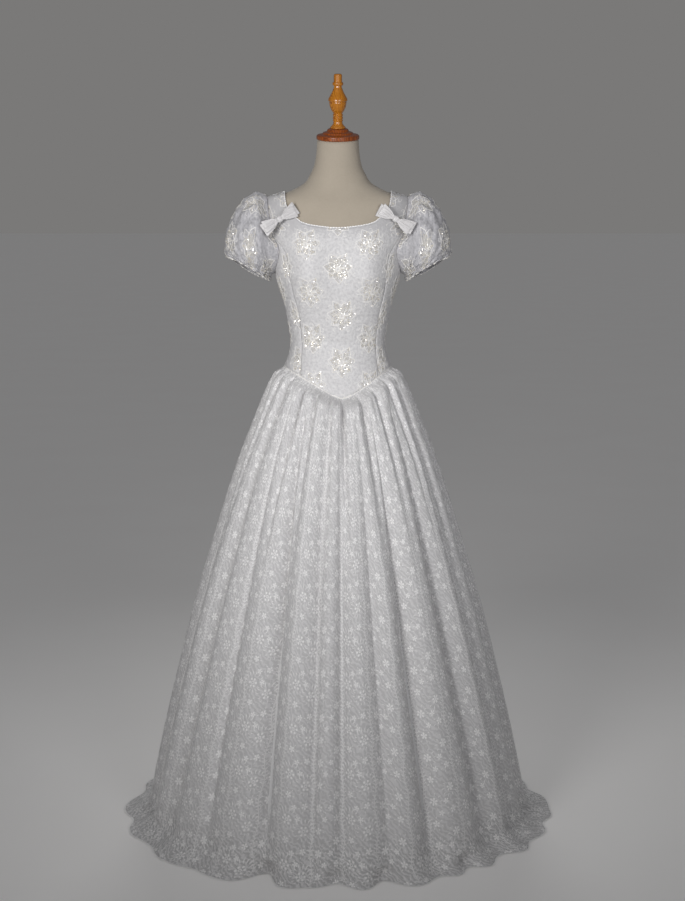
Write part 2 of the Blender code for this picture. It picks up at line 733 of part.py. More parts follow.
def skirt_point(degrees, z, clear, inset, fold_share, gather):
    """Point of the skirt at a bearing and height; folds and gathers only draw it in."""
    top = waist_height(degrees)
    down = (top - z) / top
    side, front, back = (smooth_read(SKIRT_Z, values, z) for values in SKIRT_READ)
    turn = math.radians(degrees)
    depth = front if math.cos(turn) > 0 else back
    radius = 1 / math.sqrt((math.sin(turn) / side) ** 2 + (math.cos(turn) / depth) ** 2)
    for waist_deg, hem_deg, fold, width in FOLD_ROWS:
        gap = angle_apart(degrees, between(waist_deg, hem_deg, down))
        grow = between(FOLD_START, 1.0, ease(down / FOLD_FULL)) * ease(down / FOLD_FREE)
        radius -= fold * fold_share * grow * math.exp(-(gap / width) ** 2)
    for centre, ripple, width in RIPPLE_ROWS:
        gap = angle_apart(degrees, centre)
        radius -= ripple * ease(1 - z / RIPPLE_TOP) * math.exp(-(gap / width) ** 2)
    fade = min(down / GATHER_FULL, 1.0) * max(1 - down / GATHER_END, 0.0) ** GATHER_BEND
    radius -= gather * fade * (0.5 - 0.5 * math.cos(turn * GATHERS))
    radius -= inset
    if z > HIP_LOW:
        base = skin_radius(round(degrees, 3), round(z, 4)) + clear
        leave = ease((top - z) / WAIST_HOLD)
        radius = between(base, max(radius, base + HIP_CLEAR), leave)
    return Vector((math.sin(turn) * radius, -math.cos(turn) * radius + skirt_forward(z), z))


def skirt_half(facing, hem, levels, columns, clear, inset, fold_share, gather, drop):
    """Rows of the front (facing 0) or back (facing 180) half, side seam to side seam."""
    rows = []
    for level in levels:
        line = []
        for i in range(columns + 1):
            degrees = facing + between(SIDE_SEAM_INSET - 90.0, 90.0 - SIDE_SEAM_INSET, i / columns)
            top = waist_height(degrees) - drop
            z = between(top, hem, level)
            line.append(skirt_point(degrees, z, clear, inset, fold_share, gather))
        rows.append(line)
    return rows


def upright_axis(point):
    return Vector((0, skirt_forward(point.z), point.z))


for word, facing in (("front", 0.0), ("back", 180.0)):
    lace_rows = skirt_half(facing, LACE_HEM, SKIRT_LEVELS, SKIRT_COUNT // 2,
                           LACE_CLEAR, 0.0, 1.0, GATHER_DEPTH, LACE_DROP)
    cloth(f"skirt_lace_{word}", [lace_rows], LACE_CLOTH, LACE, upright_axis)
    lining_rows = skirt_half(facing, LINING_HEM, LINING_LEVELS, SKIRT_COUNT // 4,
                             LINING_CLEAR, LINING_INSET, LINING_FOLDS, 0.0, LINING_DROP)
    cloth(f"skirt_lining_{word}", [lining_rows], LINING_CLOTH, SATIN, upright_axis)

# Ribbon bows on the straps
def bow_axes(mirror):
    """Middle of a bow, and its directions along, across and out."""
    along = Vector((mirror * math.cos(BOW_SLOPE), 0, -math.sin(BOW_SLOPE)))
    along = (along + Vector((0, -BOW_LEAN, 0))).normalized()
    outward = Vector((0, -1, 0)) - along * along.dot(Vector((0, -1, 0)))
    outward.normalize()
    middle = Vector((mirror * BOW_PLACE[0], BOW_PLACE[1], BOW_PLACE[2]))
    return middle, along, outward.cross(along), outward


def ribbon_ring(middle, along, across, outward, place):
    """One line of the flat ring of ribbon, at place -1 to 1 across its width."""
    line = []
    for i in range(BOW_COUNT):
        turn = 2 * math.pi * i / BOW_COUNT
        far = math.cos(turn)
        depth = math.sin(turn) * (BOW_HALF_GAP + BOW_PUFF * abs(far) ** BOW_PUFF_BEND)
        reach = abs(far) * BOW_HALF_LENGTH
        spread = max(reach - KNOT_LENGTH, 0) / (BOW_HALF_LENGTH - KNOT_LENGTH)
        half = between(BOW_WAIST, BOW_HALF_WIDTH, spread ** BOW_FAN_BEND)
        crease = BOW_CREASE * spread * math.cos(2 * math.pi * BOW_CREASES * place)
        line.append(middle + along * far * BOW_HALF_LENGTH + across * half * place
                    + outward * (depth + crease * math.sin(turn)))
    return line


def knot_ring(middle, along, across, outward, share):
    """One line round the bow's knot, at share 0 to 1 of its length."""
    bulge = 1 - (2 * share - 1) ** 2
    line = []
    for i in range(KNOT_COUNT):
        turn = 2 * math.pi * i / KNOT_COUNT
        c, s = math.cos(turn), math.sin(turn)
        round_out = (abs(c) ** KNOT_SQUARE + abs(s) ** KNOT_SQUARE) ** (-1 / KNOT_SQUARE)
        wide = (BOW_WAIST + KNOT_WIDE[0] + KNOT_WIDE[1] * bulge) * round_out
        deep = (BOW_HALF_GAP + RIBBON_CLOTH + KNOT_DEEP[0] + KNOT_DEEP[1] * bulge) * round_out
        line.append(middle + along * KNOT_LENGTH * (share - 0.5)
                    + across * wide * c + outward * deep * s)
    return line


for mirror, word in ((1, "left"), (-1, "right")):
    axes = bow_axes(mirror)
    loops = [ribbon_ring(*axes, 2 * k / (BOW_LINES - 1) - 1) for k in range(BOW_LINES)]
    cloth(f"bow_{word}", [loops], RIBBON_CLOTH, SATIN,
          lambda p, m=axes[0], a=axes[1]: m + a * (p - m).dot(a) * BOW_CORE, wrap=True)
    band = [knot_ring(*axes, k / (KNOT_LINES - 1)) for k in range(KNOT_LINES)]
    cloth(f"bow_knot_{word}", [band], KNOT_CLOTH, SATIN,
          lambda p, m=axes[0], a=axes[1]: m + a * (p - m).dot(a), wrap=True)
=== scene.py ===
"""Looks of a lace wedding dress on a dress form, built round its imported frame.

Metres, +Z up, the front of the dress faces -Y. The sizes of the cloth pieces repeat the source's,
but the lining hangs 4 mm further in, clear of the sharper folds that the lace has here.
"""
import math

import bmesh
import bpy
import numpy as np
from mathutils import Matrix, Vector


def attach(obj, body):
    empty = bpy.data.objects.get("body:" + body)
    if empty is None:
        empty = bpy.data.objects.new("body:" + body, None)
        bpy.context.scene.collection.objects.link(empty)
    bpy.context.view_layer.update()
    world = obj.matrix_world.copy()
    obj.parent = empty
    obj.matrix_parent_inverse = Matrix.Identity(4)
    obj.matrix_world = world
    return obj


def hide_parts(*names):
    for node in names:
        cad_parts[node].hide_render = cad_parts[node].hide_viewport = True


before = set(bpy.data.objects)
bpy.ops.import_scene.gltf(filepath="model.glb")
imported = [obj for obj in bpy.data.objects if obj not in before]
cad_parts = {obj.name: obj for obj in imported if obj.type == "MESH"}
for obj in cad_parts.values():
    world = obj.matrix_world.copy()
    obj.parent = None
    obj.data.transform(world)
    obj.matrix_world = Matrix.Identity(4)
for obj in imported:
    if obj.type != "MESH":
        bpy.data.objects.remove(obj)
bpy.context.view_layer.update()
BODY = "root"

# Cloth sizes in metres
BODICE_CLOTH = 0.0012
BODICE_OUT = 0.0019
SEAM_ROLL = 0.0008
SEAM_DRAWN = 0.0001
FORM_INSET = 0.0029
SEAM_GAP = 0.0003
SLEEVE_CLOTH = 0.0010
LACE_CLOTH = 0.0007
LINING_CLOTH = 0.0008
RIBBON_CLOTH = 0.0007

# Dress form, one row for each level: half width, depth to the front and back,
# fullness of the bust and how square the section is
FORM_ROWS = (
    (0.850, 0.122, 0.080, 0.090, 0.000, 2.2),
    (0.860, 0.140, 0.096, 0.107, 0.000, 2.2),
    (0.885, 0.149, 0.101, 0.114, 0.000, 2.2),
    (0.930, 0.154, 0.104, 0.118, 0.000, 2.2),
    (0.980, 0.154, 0.104, 0.117, 0.000, 2.2),
    (1.030, 0.148, 0.100, 0.110, 0.000, 2.2),
    (1.070, 0.140, 0.095, 0.101, 0.000, 2.2),
    (1.110, 0.128, 0.088, 0.091, 0.000, 2.1),
    (1.140, 0.117, 0.082, 0.083, 0.000, 2.1),
    (1.171, 0.112, 0.079, 0.078, 0.000, 2.1),
    (1.200, 0.116, 0.083, 0.079, 0.000, 2.1),
    (1.240, 0.123, 0.090, 0.084, 0.002, 2.2),
    (1.270, 0.129, 0.095, 0.089, 0.007, 2.3),
    (1.300, 0.139, 0.099, 0.094, 0.015, 2.3),
    (1.335, 0.148, 0.102, 0.098, 0.022, 2.4),
    (1.370, 0.150, 0.102, 0.101, 0.020, 2.4),
    (1.400, 0.156, 0.100, 0.102, 0.012, 2.4),
    (1.430, 0.164, 0.096, 0.100, 0.005, 2.4),
    (1.460, 0.169, 0.090, 0.096, 0.001, 2.3),
    (1.487, 0.1715, 0.083, 0.090, 0.000, 2.2),
    (1.505, 0.1705, 0.077, 0.083, 0.000, 2.1),
    (1.514, 0.1670, 0.073, 0.079, 0.000, 2.0),
    (1.520, 0.1520, 0.070, 0.076, 0.000, 2.0),
    (1.528, 0.1270, 0.067, 0.072, 0.000, 2.0),
    (1.540, 0.1000, 0.063, 0.067, 0.000, 2.0),
    (1.554, 0.0790, 0.060, 0.063, 0.000, 2.0),
    (1.572, 0.0685, 0.057, 0.059, 0.000, 2.0),
    (1.590, 0.0600, 0.054, 0.056, 0.000, 2.0),
    (1.620, 0.0545, 0.051, 0.053, 0.000, 2.0),
    (1.656, 0.0520, 0.050, 0.050, 0.000, 2.0),
)
BUST_X = 0.078
BUST_SPREAD = 0.046
NECK_TILT = math.radians(9.0)
NECK_TOP = 1.652
NECK_ROOT = 1.585
FORM_FOOT = 0.850

# Princess seams: height, distance of the seam from the middle in front and at the back
SEAM_ROWS = (
    (1.020, 0.092, 0.060),
    (1.088, 0.092, 0.061),
    (1.156, 0.088, 0.058),
    (1.228, 0.093, 0.066),
    (1.297, 0.109, 0.082),
    (1.374, 0.120, 0.108),
    (1.400, 0.132, 0.127),
    (1.422, 0.154, 0.152),
)
ARMHOLE_NOTCH = 1.422
ARMHOLE_BEND = 1.7
SHOULDER_BEND = 1.2
UNDERARM = 1.336
BODICE_MIDDLE = 1.25
SETTLE_STEPS = 8
WAIST_SIDE = 1.109
WAIST_FRONT = 1.039
WAIST_BACK = 1.066
WAIST_BEND = 1.5
WAIST_GAP = 0.0004
FRONT_TURN = 6.0
TURN_ENDS = 1.36
TURN_FADE = 0.12
ROW_EVENNESS = 0.92
# Radii that turn lengths on the cloth into degrees at the sides, over the shoulder and at the
# middle of the back
SIDE_RADIUS = 0.13
SHOULDER_RADIUS = 0.035
BACK_RADIUS = 0.085
NECKLINE = {"front": (1.444, 1.4445, 1.446, 1.448, 1.451, 1.4570),
            "back": (1.470, 1.4705, 1.4715, 1.473, 1.475, 1.4780)}
NECK_SHARE = 0.625

# Shoulder strap: share of the way up, inner edge and outer edge from the middle
STRAP_ROWS = (
    (0.00, 0.085, 0.155),
    (0.07, 0.103, 0.157),
    (0.15, 0.113, 0.159),
    (0.28, 0.121, 0.162),
    (0.60, 0.126, 0.165),
    (1.00, 0.128, 0.166),
)
STRAP_AXIS = 1.485
STRAP_BAND = 0.03
STRAP_NEAR = 0.08
STRAP_CORE = 0.04
BODY_CORE_TOP = 1.42
ZIP_WIDTH = 0.006
ZIP_FOOT = 0.003
ZIP_HEAD = 0.001

# Puff sleeve, one row for each ring: x and z of its highest point, x and z of its lowest
# point, half depth and depth of the pleats
SLEEVE_ROWS = (
    (0.197, 1.5300, 0.1590, 1.3330, 0.079, 0.0040),
    (0.222, 1.5140, 0.1600, 1.3310, 0.088, 0.0045),
    (0.245, 1.4870, 0.1608, 1.3290, 0.092, 0.0040),
    (0.262, 1.4500, 0.1615, 1.3265, 0.092, 0.0035),
    (0.2715, 1.4130, 0.1620, 1.3235, 0.088, 0.0030),
    (0.2725, 1.3860, 0.1625, 1.3195, 0.082, 0.0030),
    (0.2705, 1.3770, 0.1630, 1.3160, 0.080, 0.0035),
)
SLEEVE_SAG = 0.012
SLEEVE_LIFT = 0.008
SLEEVE_MIDDLE = 1.41
SAG_FADE = 0.06
PLEAT_UNDER = 0.35
PLEAT_SHARE = 0.25
# How far the sleeve's head stands out of the armhole and over it, at its seam and where it
# is fullest, and the share of this that is left at the underarm
HEAD_OUT = (0.0012, 0.010)
HEAD_OVER = (0.0004, 0.0065)
HEAD_UNDER = 0.2

# Skirt, one row for each level: height, half width, depth to the front and back
SKIRT_ROWS = (
    (0.0005, 0.536, 0.540, 0.560),
    (0.014, 0.497, 0.520, 0.535),
    (0.032, 0.472, 0.508, 0.525),
    (0.100, 0.458, 0.490, 0.512),
    (0.226, 0.431, 0.452, 0.485),
    (0.380, 0.394, 0.402, 0.450),
    (0.532, 0.355, 0.352, 0.408),
    (0.683, 0.309, 0.300, 0.358),
    (0.795, 0.272, 0.258, 0.314),
    (0.906, 0.232, 0.213, 0.262),
    (0.980, 0.201, 0.178, 0.219),
    (1.038, 0.177, 0.146, 0.180),
    (1.068, 0.163, 0.127, 0.152),
    (1.097, 0.146, 0.107, 0.122),
    (1.115, 0.133, 0.095, 0.100),
)
SKIRT_FORWARD = -0.035
FORWARD_TOP = 1.02
GATHERS = 24
GATHER_DEPTH = 0.006
GATHER_FULL = 0.035
GATHER_END = 0.50
GATHER_BEND = 1.5
SIDE_SEAM_INSET = 0.10
# The skirt is held to the form just below the waist seam
HIP_LOW = 0.86
HIP_CLEAR = 0.001
LACE_HEM = 0.0012
LACE_CLEAR = 0.0016
LINING_HEM = 0.085
LINING_INSET = 0.026
LINING_CLEAR = -0.0004
LINING_DROP = 0.0015
LINING_FOLDS = 0.85

# Broad folds of the skirt: bearing at the waist and at the hem from the middle front,
# positive to +X, then depth and width in degrees. They start below the waist seam and are
# full from FOLD_FULL of the way down
FOLD_START = 0.25
FOLD_FREE = 0.10
FOLD_FULL = 0.55
FOLD_ROWS = (
    (-79.0, -80.0, 0.020, 5.0),
    (-58.0, -59.0, 0.016, 4.5),
    (-43.0, -40.0, 0.013, 4.5),
    (-28.5, -20.5, 0.032, 5.0),
    (-9.0, -7.0, 0.018, 4.0),
    (2.0, 1.0, 0.019, 3.6),
    (15.0, 14.0, 0.014, 4.0),
    (28.0, 27.0, 0.027, 4.5),
    (47.0, 47.5, 0.026, 4.8),
    (63.0, 63.0, 0.020, 5.0),
    (78.0, 78.0, 0.018, 4.5),
    (103.0, 106.0, 0.024, 5.5),
    (123.0, 127.0, 0.026, 5.5),
    (143.0, 146.0, 0.024, 5.5),
    (163.0, 165.0, 0.028, 5.5),
    (184.0, 184.0, 0.026, 5.5),
    (203.0, 202.0, 0.027, 5.5),
    (222.0, 220.0, 0.024, 5.5),
    (241.0, 238.0, 0.026, 5.5),
    (259.0, 257.0, 0.022, 5.0),
)

# Ripples of the hem where it lies on the floor: bearing, depth and width in degrees
RIPPLE_TOP = 0.045
RIPPLE_ROWS = (
    (-65.0, 0.012, 4.0),
    (-20.0, 0.045, 3.6),
    (-1.0, 0.030, 3.6),
    (12.0, 0.040, 3.6),
    (37.0, 0.040, 3.6),
    (51.0, 0.018, 4.0),
    (120.0, 0.020, 5.0),
    (152.0, 0.024, 5.0),
    (195.0, 0.024, 5.0),
    (230.0, 0.020, 5.0),
)

# Bow, its middle and the slope of its length seen from the front
BOW_PLACE = (0.137, -0.0849, 1.4645)
BOW_LEAN = 0.13
BOW_HALF_LENGTH = 0.047
BOW_SLOPE = math.radians(31.5)
BOW_HALF_WIDTH = 0.0165
BOW_WAIST = 0.005
BOW_PUFF = 0.0034
BOW_HALF_GAP = 0.0012
KNOT_LENGTH = 0.011

# Turned woods and the stand, radius and height of each turned step
BASE_PROFILE = ((0.172, 0.0), (0.175, 0.004), (0.175, 0.012), (0.170, 0.019),
                (0.158, 0.024), (0.060, 0.027), (0.034, 0.034), (0.028, 0.040))
CAP_PROFILE = ((0.0495, 0.0), (0.0513, 0.0018), (0.0513, 0.0085), (0.0490, 0.0108),
               (0.0370, 0.0135), (0.0355, 0.0165), (0.0270, 0.0190), (0.0245, 0.0240),
               (0.0215, 0.0255))
FINIAL_PROFILE = (
    (0.0165, 0.0), (0.0186, 0.0012), (0.0186, 0.0030), (0.0150, 0.0062), (0.0112, 0.0112),
    (0.0108, 0.0165), (0.0124, 0.0185), (0.0108, 0.0208), (0.0124, 0.0245),
    (0.0108, 0.0283), (0.0124, 0.0315), (0.0104, 0.0350), (0.0118, 0.0375),
    (0.0156, 0.0430), (0.0190, 0.0510), (0.0207, 0.0610), (0.0204, 0.0632),
    (0.0227, 0.0655), (0.0225, 0.0695), (0.0190, 0.0760), (0.0135, 0.0860),
    (0.0095, 0.0960), (0.0090, 0.1000), (0.0122, 0.1012), (0.0130, 0.1045),
    (0.0122, 0.1080), (0.0098, 0.1090), (0.0098, 0.1250), (0.0080, 0.1275),
)


# Reading the tables
def smooth_read(keys, values, at):
    """Reads a table between its rows without overshoot, for one number or an array."""
    keys, values = np.asarray(keys, float), np.asarray(values, float)
    step = np.diff(keys)
    slope = np.diff(values) / step
    lean = np.zeros(len(keys))
    lean[0], lean[-1] = slope[0], slope[-1]
    same = slope[:-1] * slope[1:] > 0
    before, after = np.where(same, slope[:-1], 1.0), np.where(same, slope[1:], 1.0)
    one, two = 2 * step[1:] + step[:-1], step[1:] + 2 * step[:-1]
    lean[1:-1] = np.where(same, (one + two) / (one / before + two / after), 0.0)
    at = np.clip(np.asarray(at, float), keys[0], keys[-1])
    i = np.clip(np.searchsorted(keys, at) - 1, 0, len(keys) - 2)
    t = (at - keys[i]) / step[i]
    start = (1 + 2 * t) * (1 - t) ** 2 * values[i] + t * (1 - t) ** 2 * step[i] * lean[i]
    return start + t * t * (3 - 2 * t) * values[i + 1] + t * t * (t - 1) * step[i] * lean[i + 1]


def columns_of(rows):
    return [np.array(values) for values in zip(*rows)]


def ease(value):
    value = np.clip(value, 0.0, 1.0)
    return value * value * (3 - 2 * value)


def between(a, b, share):
    return a + (b - a) * share


def stack(x, y, z):
    return np.stack(np.broadcast_arrays(x, y, z), axis=-1)


# Skin of the dress form
FORM_READ = columns_of(FORM_ROWS)
FORM_FINE_Z = np.linspace(FORM_READ[0][0], FORM_READ[0][-1], 4000)
FORM_FINE = [smooth_read(FORM_READ[0], values, FORM_FINE_Z) for values in FORM_READ[1:]]


def section(z):
    return [np.interp(z, FORM_FINE_Z, values) for values in FORM_FINE]


def form_field(p):
    """Below 1 inside the dress form, above 1 outside it."""
    half, front, back, bust, square = section(p[..., 2])
    full = front + bust * np.exp(-((np.abs(p[..., 0]) - BUST_X) / BUST_SPREAD) ** 2)
    depth = np.where(p[..., 1] < 0, full, back)
    return (np.abs(p[..., 0]) / half) ** square + (np.abs(p[..., 1]) / depth) ** square


def form_normal(point):
    nudge = 0.0008
    parts = [form_field(point + axis * nudge) - form_field(point - axis * nudge)
             for axis in np.eye(3)]
    normal = np.stack(parts, axis=-1)
    return normal / np.linalg.norm(normal, axis=-1, keepdims=True)


def form_hit(start, direction, out):
    """Points where lines from inside leave the form, moved out along the normals."""
    near = np.zeros(direction.shape[:-1])
    far = near + 0.40
    for _ in range(30):
        middle = (near + far) / 2
        inside = form_field(start + direction * middle[..., None]) < 1.0
        near, far = np.where(inside, middle, near), np.where(inside, far, middle)
    point = start + direction * near[..., None]
    return point + form_normal(point) * np.asarray(out)[..., None]


def skin(degrees, z, out):
    """Points over the form at bearings from the middle front and heights."""
    turn, z = np.broadcast_arrays(np.radians(degrees), np.asarray(z, float))
    return form_hit(stack(0.0, 0.0, z), stack(np.sin(turn), -np.cos(turn), 0.0), out)


def over_shoulder(x, degrees, out):
    """Points over the shoulder, 0 level to the front, 90 straight up, 180 to the back."""
    turn, x = np.broadcast_arrays(np.radians(degrees), np.asarray(x, float))
    return form_hit(stack(x, 0.0, STRAP_AXIS), stack(0.0, -np.cos(turn), np.sin(turn)), out)


# Making a mesh
def mesh_object(name, points, faces, uv=None):
    """Object from points and faces; uv gives two numbers for each point."""
    mesh = bpy.data.meshes.new(name)
    mesh.from_pydata([tuple(p) for p in points], [], faces)
    if uv is not None:
        layer = mesh.uv_layers.new(name="cloth")
        where = np.zeros(len(mesh.loops), np.int32)
        mesh.loops.foreach_get("vertex_index", where)
        layer.data.foreach_set("uv", np.asarray(uv, np.float32)[where].ravel())
    mesh.shade_smooth()
    obj = bpy.data.objects.new(name, mesh)
    bpy.context.scene.collection.objects.link(obj)
    return obj


def grid_faces(rows, cols, start=0, wrap=False):
    """Quads over a grid of points, row by row."""
    r, c = np.meshgrid(np.arange(rows - 1), np.arange(cols if wrap else cols - 1), indexing="ij")
    d = (c + 1) % cols
    quads = np.stack([r * cols + c, r * cols + d, (r + 1) * cols + d, (r + 1) * cols + c], axis=-1)
    return (quads.reshape(-1, 4) + start).tolist()


def cloth(name, grids, centre, wrap=False):
    """Open surface through grids of (points, uv), facing away from centre."""
    points, uvs, faces = [], [], []
    for grid, uv in grids:
        faces += grid_faces(grid.shape[0], grid.shape[1], len(points), wrap)
        points += list(grid.reshape(-1, 3))
        uvs += list(uv.reshape(-1, 2))
    obj = mesh_object(name, points, faces, uvs)
    sheet = bmesh.new()
    sheet.from_mesh(obj.data)
    bmesh.ops.remove_doubles(sheet, verts=sheet.verts, dist=0.00003)
    bmesh.ops.recalc_face_normals(sheet, faces=sheet.faces)
    lean = 0.0
    for face in sheet.faces:
        middle = face.calc_center_median()
        lean += (middle - Vector(centre(middle))).dot(face.normal) * face.calc_area()
    if lean < 0:
        bmesh.ops.reverse_faces(sheet, faces=sheet.faces)
    sheet.to_mesh(obj.data)
    sheet.free()
    obj.data.shade_smooth()
    return obj


def give_wall(obj, thickness):
    """The cloth's thickness, half to each side of its middle surface."""
    wall = obj.modifiers.new("cloth", "SOLIDIFY")
    wall.thickness = thickness
    wall.offset = 0.0
    wall.use_even_offset = False


def run_along(line):
    """Distance of each point of a line from its start, along it."""
    return np.concatenate([[0], np.cumsum(np.linalg.norm(np.diff(line, axis=0), axis=-1))])


def capped_tube(name, rings):
    """Body from rings of points, one above another, closed by a fan at each end."""
    rows, count = rings.shape[:2]
    points = list(rings.reshape(-1, 3)) + [rings[0].mean(axis=0), rings[-1].mean(axis=0)]
    faces = grid_faces(rows, count, wrap=True)
    last, top = len(points) - 1, (rows - 1) * count
    for i in range(count):
        j = (i + 1) % count
        faces += [(i, last - 1, j), (top + i, top + j, last)]
    return mesh_object(name, points, faces)


def turned(name, profile, count, place):
    """Turned body from (radius, height) pairs, with more rings on the straight runs between."""
    reach = run_along(np.array(profile))
    fine = np.linspace(0, reach[-1], max(len(profile) * 5, 30))
    fine = np.unique(np.concatenate([fine, reach]))
    radius, height = (np.interp(fine, reach, values)[:, None] for values in np.array(profile).T)
    turn = np.linspace(0, 2 * np.pi, count, endpoint=False)
    obj = capped_tube(name, stack(radius * np.cos(turn), radius * np.sin(turn), height))
    obj.data.transform(place)
    return obj


def arc_length(points, axis):
    """Distance along rows (axis 1) or up columns (axis 0) of a grid, from its first line."""
    step = np.linalg.norm(np.diff(points, axis=axis), axis=-1)
    start = np.zeros_like(np.take(step, [0], axis=axis))
    return np.concatenate([start, np.cumsum(step, axis=axis)], axis=axis)


# Bodice
SEAM_READ = columns_of(SEAM_ROWS)
STRAP_READ = columns_of(STRAP_ROWS)


def princess(z, side):
    """Bearing off the middle of the princess seam."""
    x = smooth_read(SEAM_READ[0], SEAM_READ[1 if side == "front" else 2], z)
    half, front, back, bust, square = section(z)
    depth = back
    if side == "front":
        depth = front + bust * np.exp(-((x - BUST_X) / BUST_SPREAD) ** 2)
    y = depth * np.maximum(1 - (x / half) ** square, 1e-6) ** (1 / square)
    return np.degrees(np.arctan2(x, y))


def front_turn(degrees):
    """How far the front of the dress is turned on the form, none at the sides and back."""
    return FRONT_TURN * np.maximum(np.cos(np.radians(degrees)), 0) ** 2


def waist_height(degrees):
    """Height of the waist seam, dipping to a point in front and a little at the back."""
    turn = np.radians(degrees - front_turn(degrees))
    low = np.where(np.cos(turn) > 0, WAIST_FRONT, WAIST_BACK)
    return between(low, WAIST_SIDE, np.abs(np.sin(turn)) ** WAIST_BEND)


def middle_top(u, side):
    """Top of the middle panel at share u of its half, before the strap."""
    neck = smooth_read(np.linspace(0, NECK_SHARE, 6), NECKLINE[side], u)
    share = np.clip((u - NECK_SHARE) / (1 - NECK_SHARE), 0, 1) ** SHOULDER_BEND
    return np.where(u <= NECK_SHARE, neck, between(NECKLINE[side][-1], ARMHOLE_NOTCH, share))


def side_top(u):
    """Lower armhole from the notch at the princess seam down to the side seam."""
    return between(UNDERARM, ARMHOLE_NOTCH, (1 - u) ** ARMHOLE_BEND)


def settle(u, share, side, mirror, bearing, top, out, ends=1):
    """Points of a panel from its two shares: across, and up from the waist."""
    z = np.full(np.broadcast(u, share).shape, BODICE_MIDDLE)
    for _ in range(SETTLE_STEPS):
        off = bearing(u, z)
        facing = mirror * (off if side == "front" else 180.0 - off)
        if side == "front":
            facing = facing + front_turn(facing) * ease((TURN_ENDS - z) / TURN_FADE)
        low = waist_height(facing) + WAIST_GAP
        z = between(low, top(u), share ** ROW_EVENNESS)
    lift = out(stack(np.radians(facing) * SIDE_RADIUS, 0.0, z)) - seam_roll(u, ends)
    return skin(facing, z, lift)


PANEL_INSET = math.degrees(SEAM_DRAWN / SIDE_RADIUS)


def middle_bearing(side, near_edge):
    """How a middle panel is laid across: from its near edge to the princess seam."""
    return lambda u, z: between(near_edge, princess(z, side) - PANEL_INSET, u)


def side_bearing(side):
    """How a side panel is laid across: from the princess seam to the side seam."""
    return lambda u, z: between(princess(z, side) + PANEL_INSET, 90.0 - PANEL_INSET, u)


# Creases and dimples of the bodice: distance from the middle of the front along the cloth
# and height of the middle, half length, half width, slope in degrees and depth
CREASE_ROWS = (
    (-0.012, 1.391, 0.060, 0.0050, 2.0, 0.0016),
    (0.040, 1.399, 0.036, 0.0045, 14.0, 0.0011),
    (-0.052, 1.403, 0.030, 0.0050, -16.0, 0.0010),
    (0.004, 1.171, 0.062, 0.0055, -3.0, 0.0017),
    (-0.040, 1.186, 0.032, 0.0045, 9.0, 0.0010),
    (0.046, 1.157, 0.030, 0.0045, -8.0, 0.0011),
    (0.018, 1.282, 0.004, 0.0300, 0.0, 0.0009),
    (-0.060, 1.236, 0.024, 0.0060, -24.0, 0.0009),
    (0.064, 1.228, 0.026, 0.0060, 22.0, 0.0009),
    (-0.118, 1.172, 0.030, 0.0050, 12.0, 0.0012),
    (0.120, 1.180, 0.030, 0.0050, -10.0, 0.0012),
    (0.150, 1.205, 0.026, 0.0045, 6.0, 0.0010),
    (-0.146, 1.208, 0.026, 0.0045, -7.0, 0.0010),
    (-0.285, 1.196, 0.028, 0.0050, 8.0, 0.0012),
    (0.288, 1.188, 0.028, 0.0050, -9.0, 0.0012),
    (0.352, 1.172, 0.034, 0.0055, 5.0, 0.0014),
    (-0.350, 1.178, 0.034, 0.0055, -6.0, 0.0014),
    (0.330, 1.146, 0.026, 0.0045, -8.0, 0.0010),
    (-0.334, 1.220, 0.028, 0.0045, 7.0, 0.0010),
)


# Beside each crease runs a low ridge: its share of the crease's depth and its distance in
# half widths
RIDGE_SHARE = 0.35
RIDGE_OFF = 2.0
ROLL_REACH = 0.055


def creased(p):
    """How far out a bodice point stands; p holds its distance round the body and height."""
    out = np.full(p.shape[:-1], BODICE_OUT)
    for along, z, half_length, half_width, slope, depth in CREASE_ROWS:
        turn = math.radians(slope)
        dx, dz = p[..., 0] - along, p[..., 2] - z
        far = (dx * math.cos(turn) + dz * math.sin(turn)) / half_length
        off = (dz * math.cos(turn) - dx * math.sin(turn)) / half_width
        out = out - depth * np.exp(-far ** 2 - off ** 2)
        out = out + RIDGE_SHARE * depth * np.exp(-far ** 2 - (off - RIDGE_OFF) ** 2)
    return out


def seam_roll(u, ends):
    """How far a panel's edge is rolled in where it is sewn to the next one."""
    near = np.minimum(np.abs(u) if ends == 2 else 1.0, np.abs(1 - u))
    return SEAM_ROLL * np.exp(-(near / ROLL_REACH) ** 2)


def strap_points(root, side, mirror, steps, out):
    """Strap from the top of the body to the shoulder seam."""
    away = root - stack(root[:, 0], 0.0, STRAP_AXIS)
    away[:, 0] = 0
    length = np.linalg.norm(away, axis=-1, keepdims=True)
    base = form_hit(stack(root[:, 0], 0.0, STRAP_AXIS), away / length, 0.0)
    toward = -1.0 if side == "front" else 1.0
    inner0, outer0 = abs(base[0, 0]), abs(base[-1, 0])
    across = (np.abs(base[:, 0]) - inner0) / (outer0 - inner0)
    start = np.degrees(np.arctan2(base[:, 2] - STRAP_AXIS, toward * base[:, 1]))
    seam = math.degrees(SEAM_GAP * 0.6 / SHOULDER_RADIUS)
    lines = [root]
    for share in np.linspace(0, 1, steps + 1)[1:]:
        turn = between(start, 90.0 - seam, share)
        inner = smooth_read(STRAP_READ[0], STRAP_READ[1], share)
        outer = smooth_read(STRAP_READ[0], STRAP_READ[2], share)
        inner = inner + (inner0 - STRAP_ROWS[0][1]) * (1 - share)
        outer = outer + (outer0 - STRAP_ROWS[0][2]) * (1 - share)
        x = mirror * between(inner, outer, across)
        lines.append(over_shoulder(x, turn if side == "front" else 180.0 - turn, out))
    return np.stack(lines)


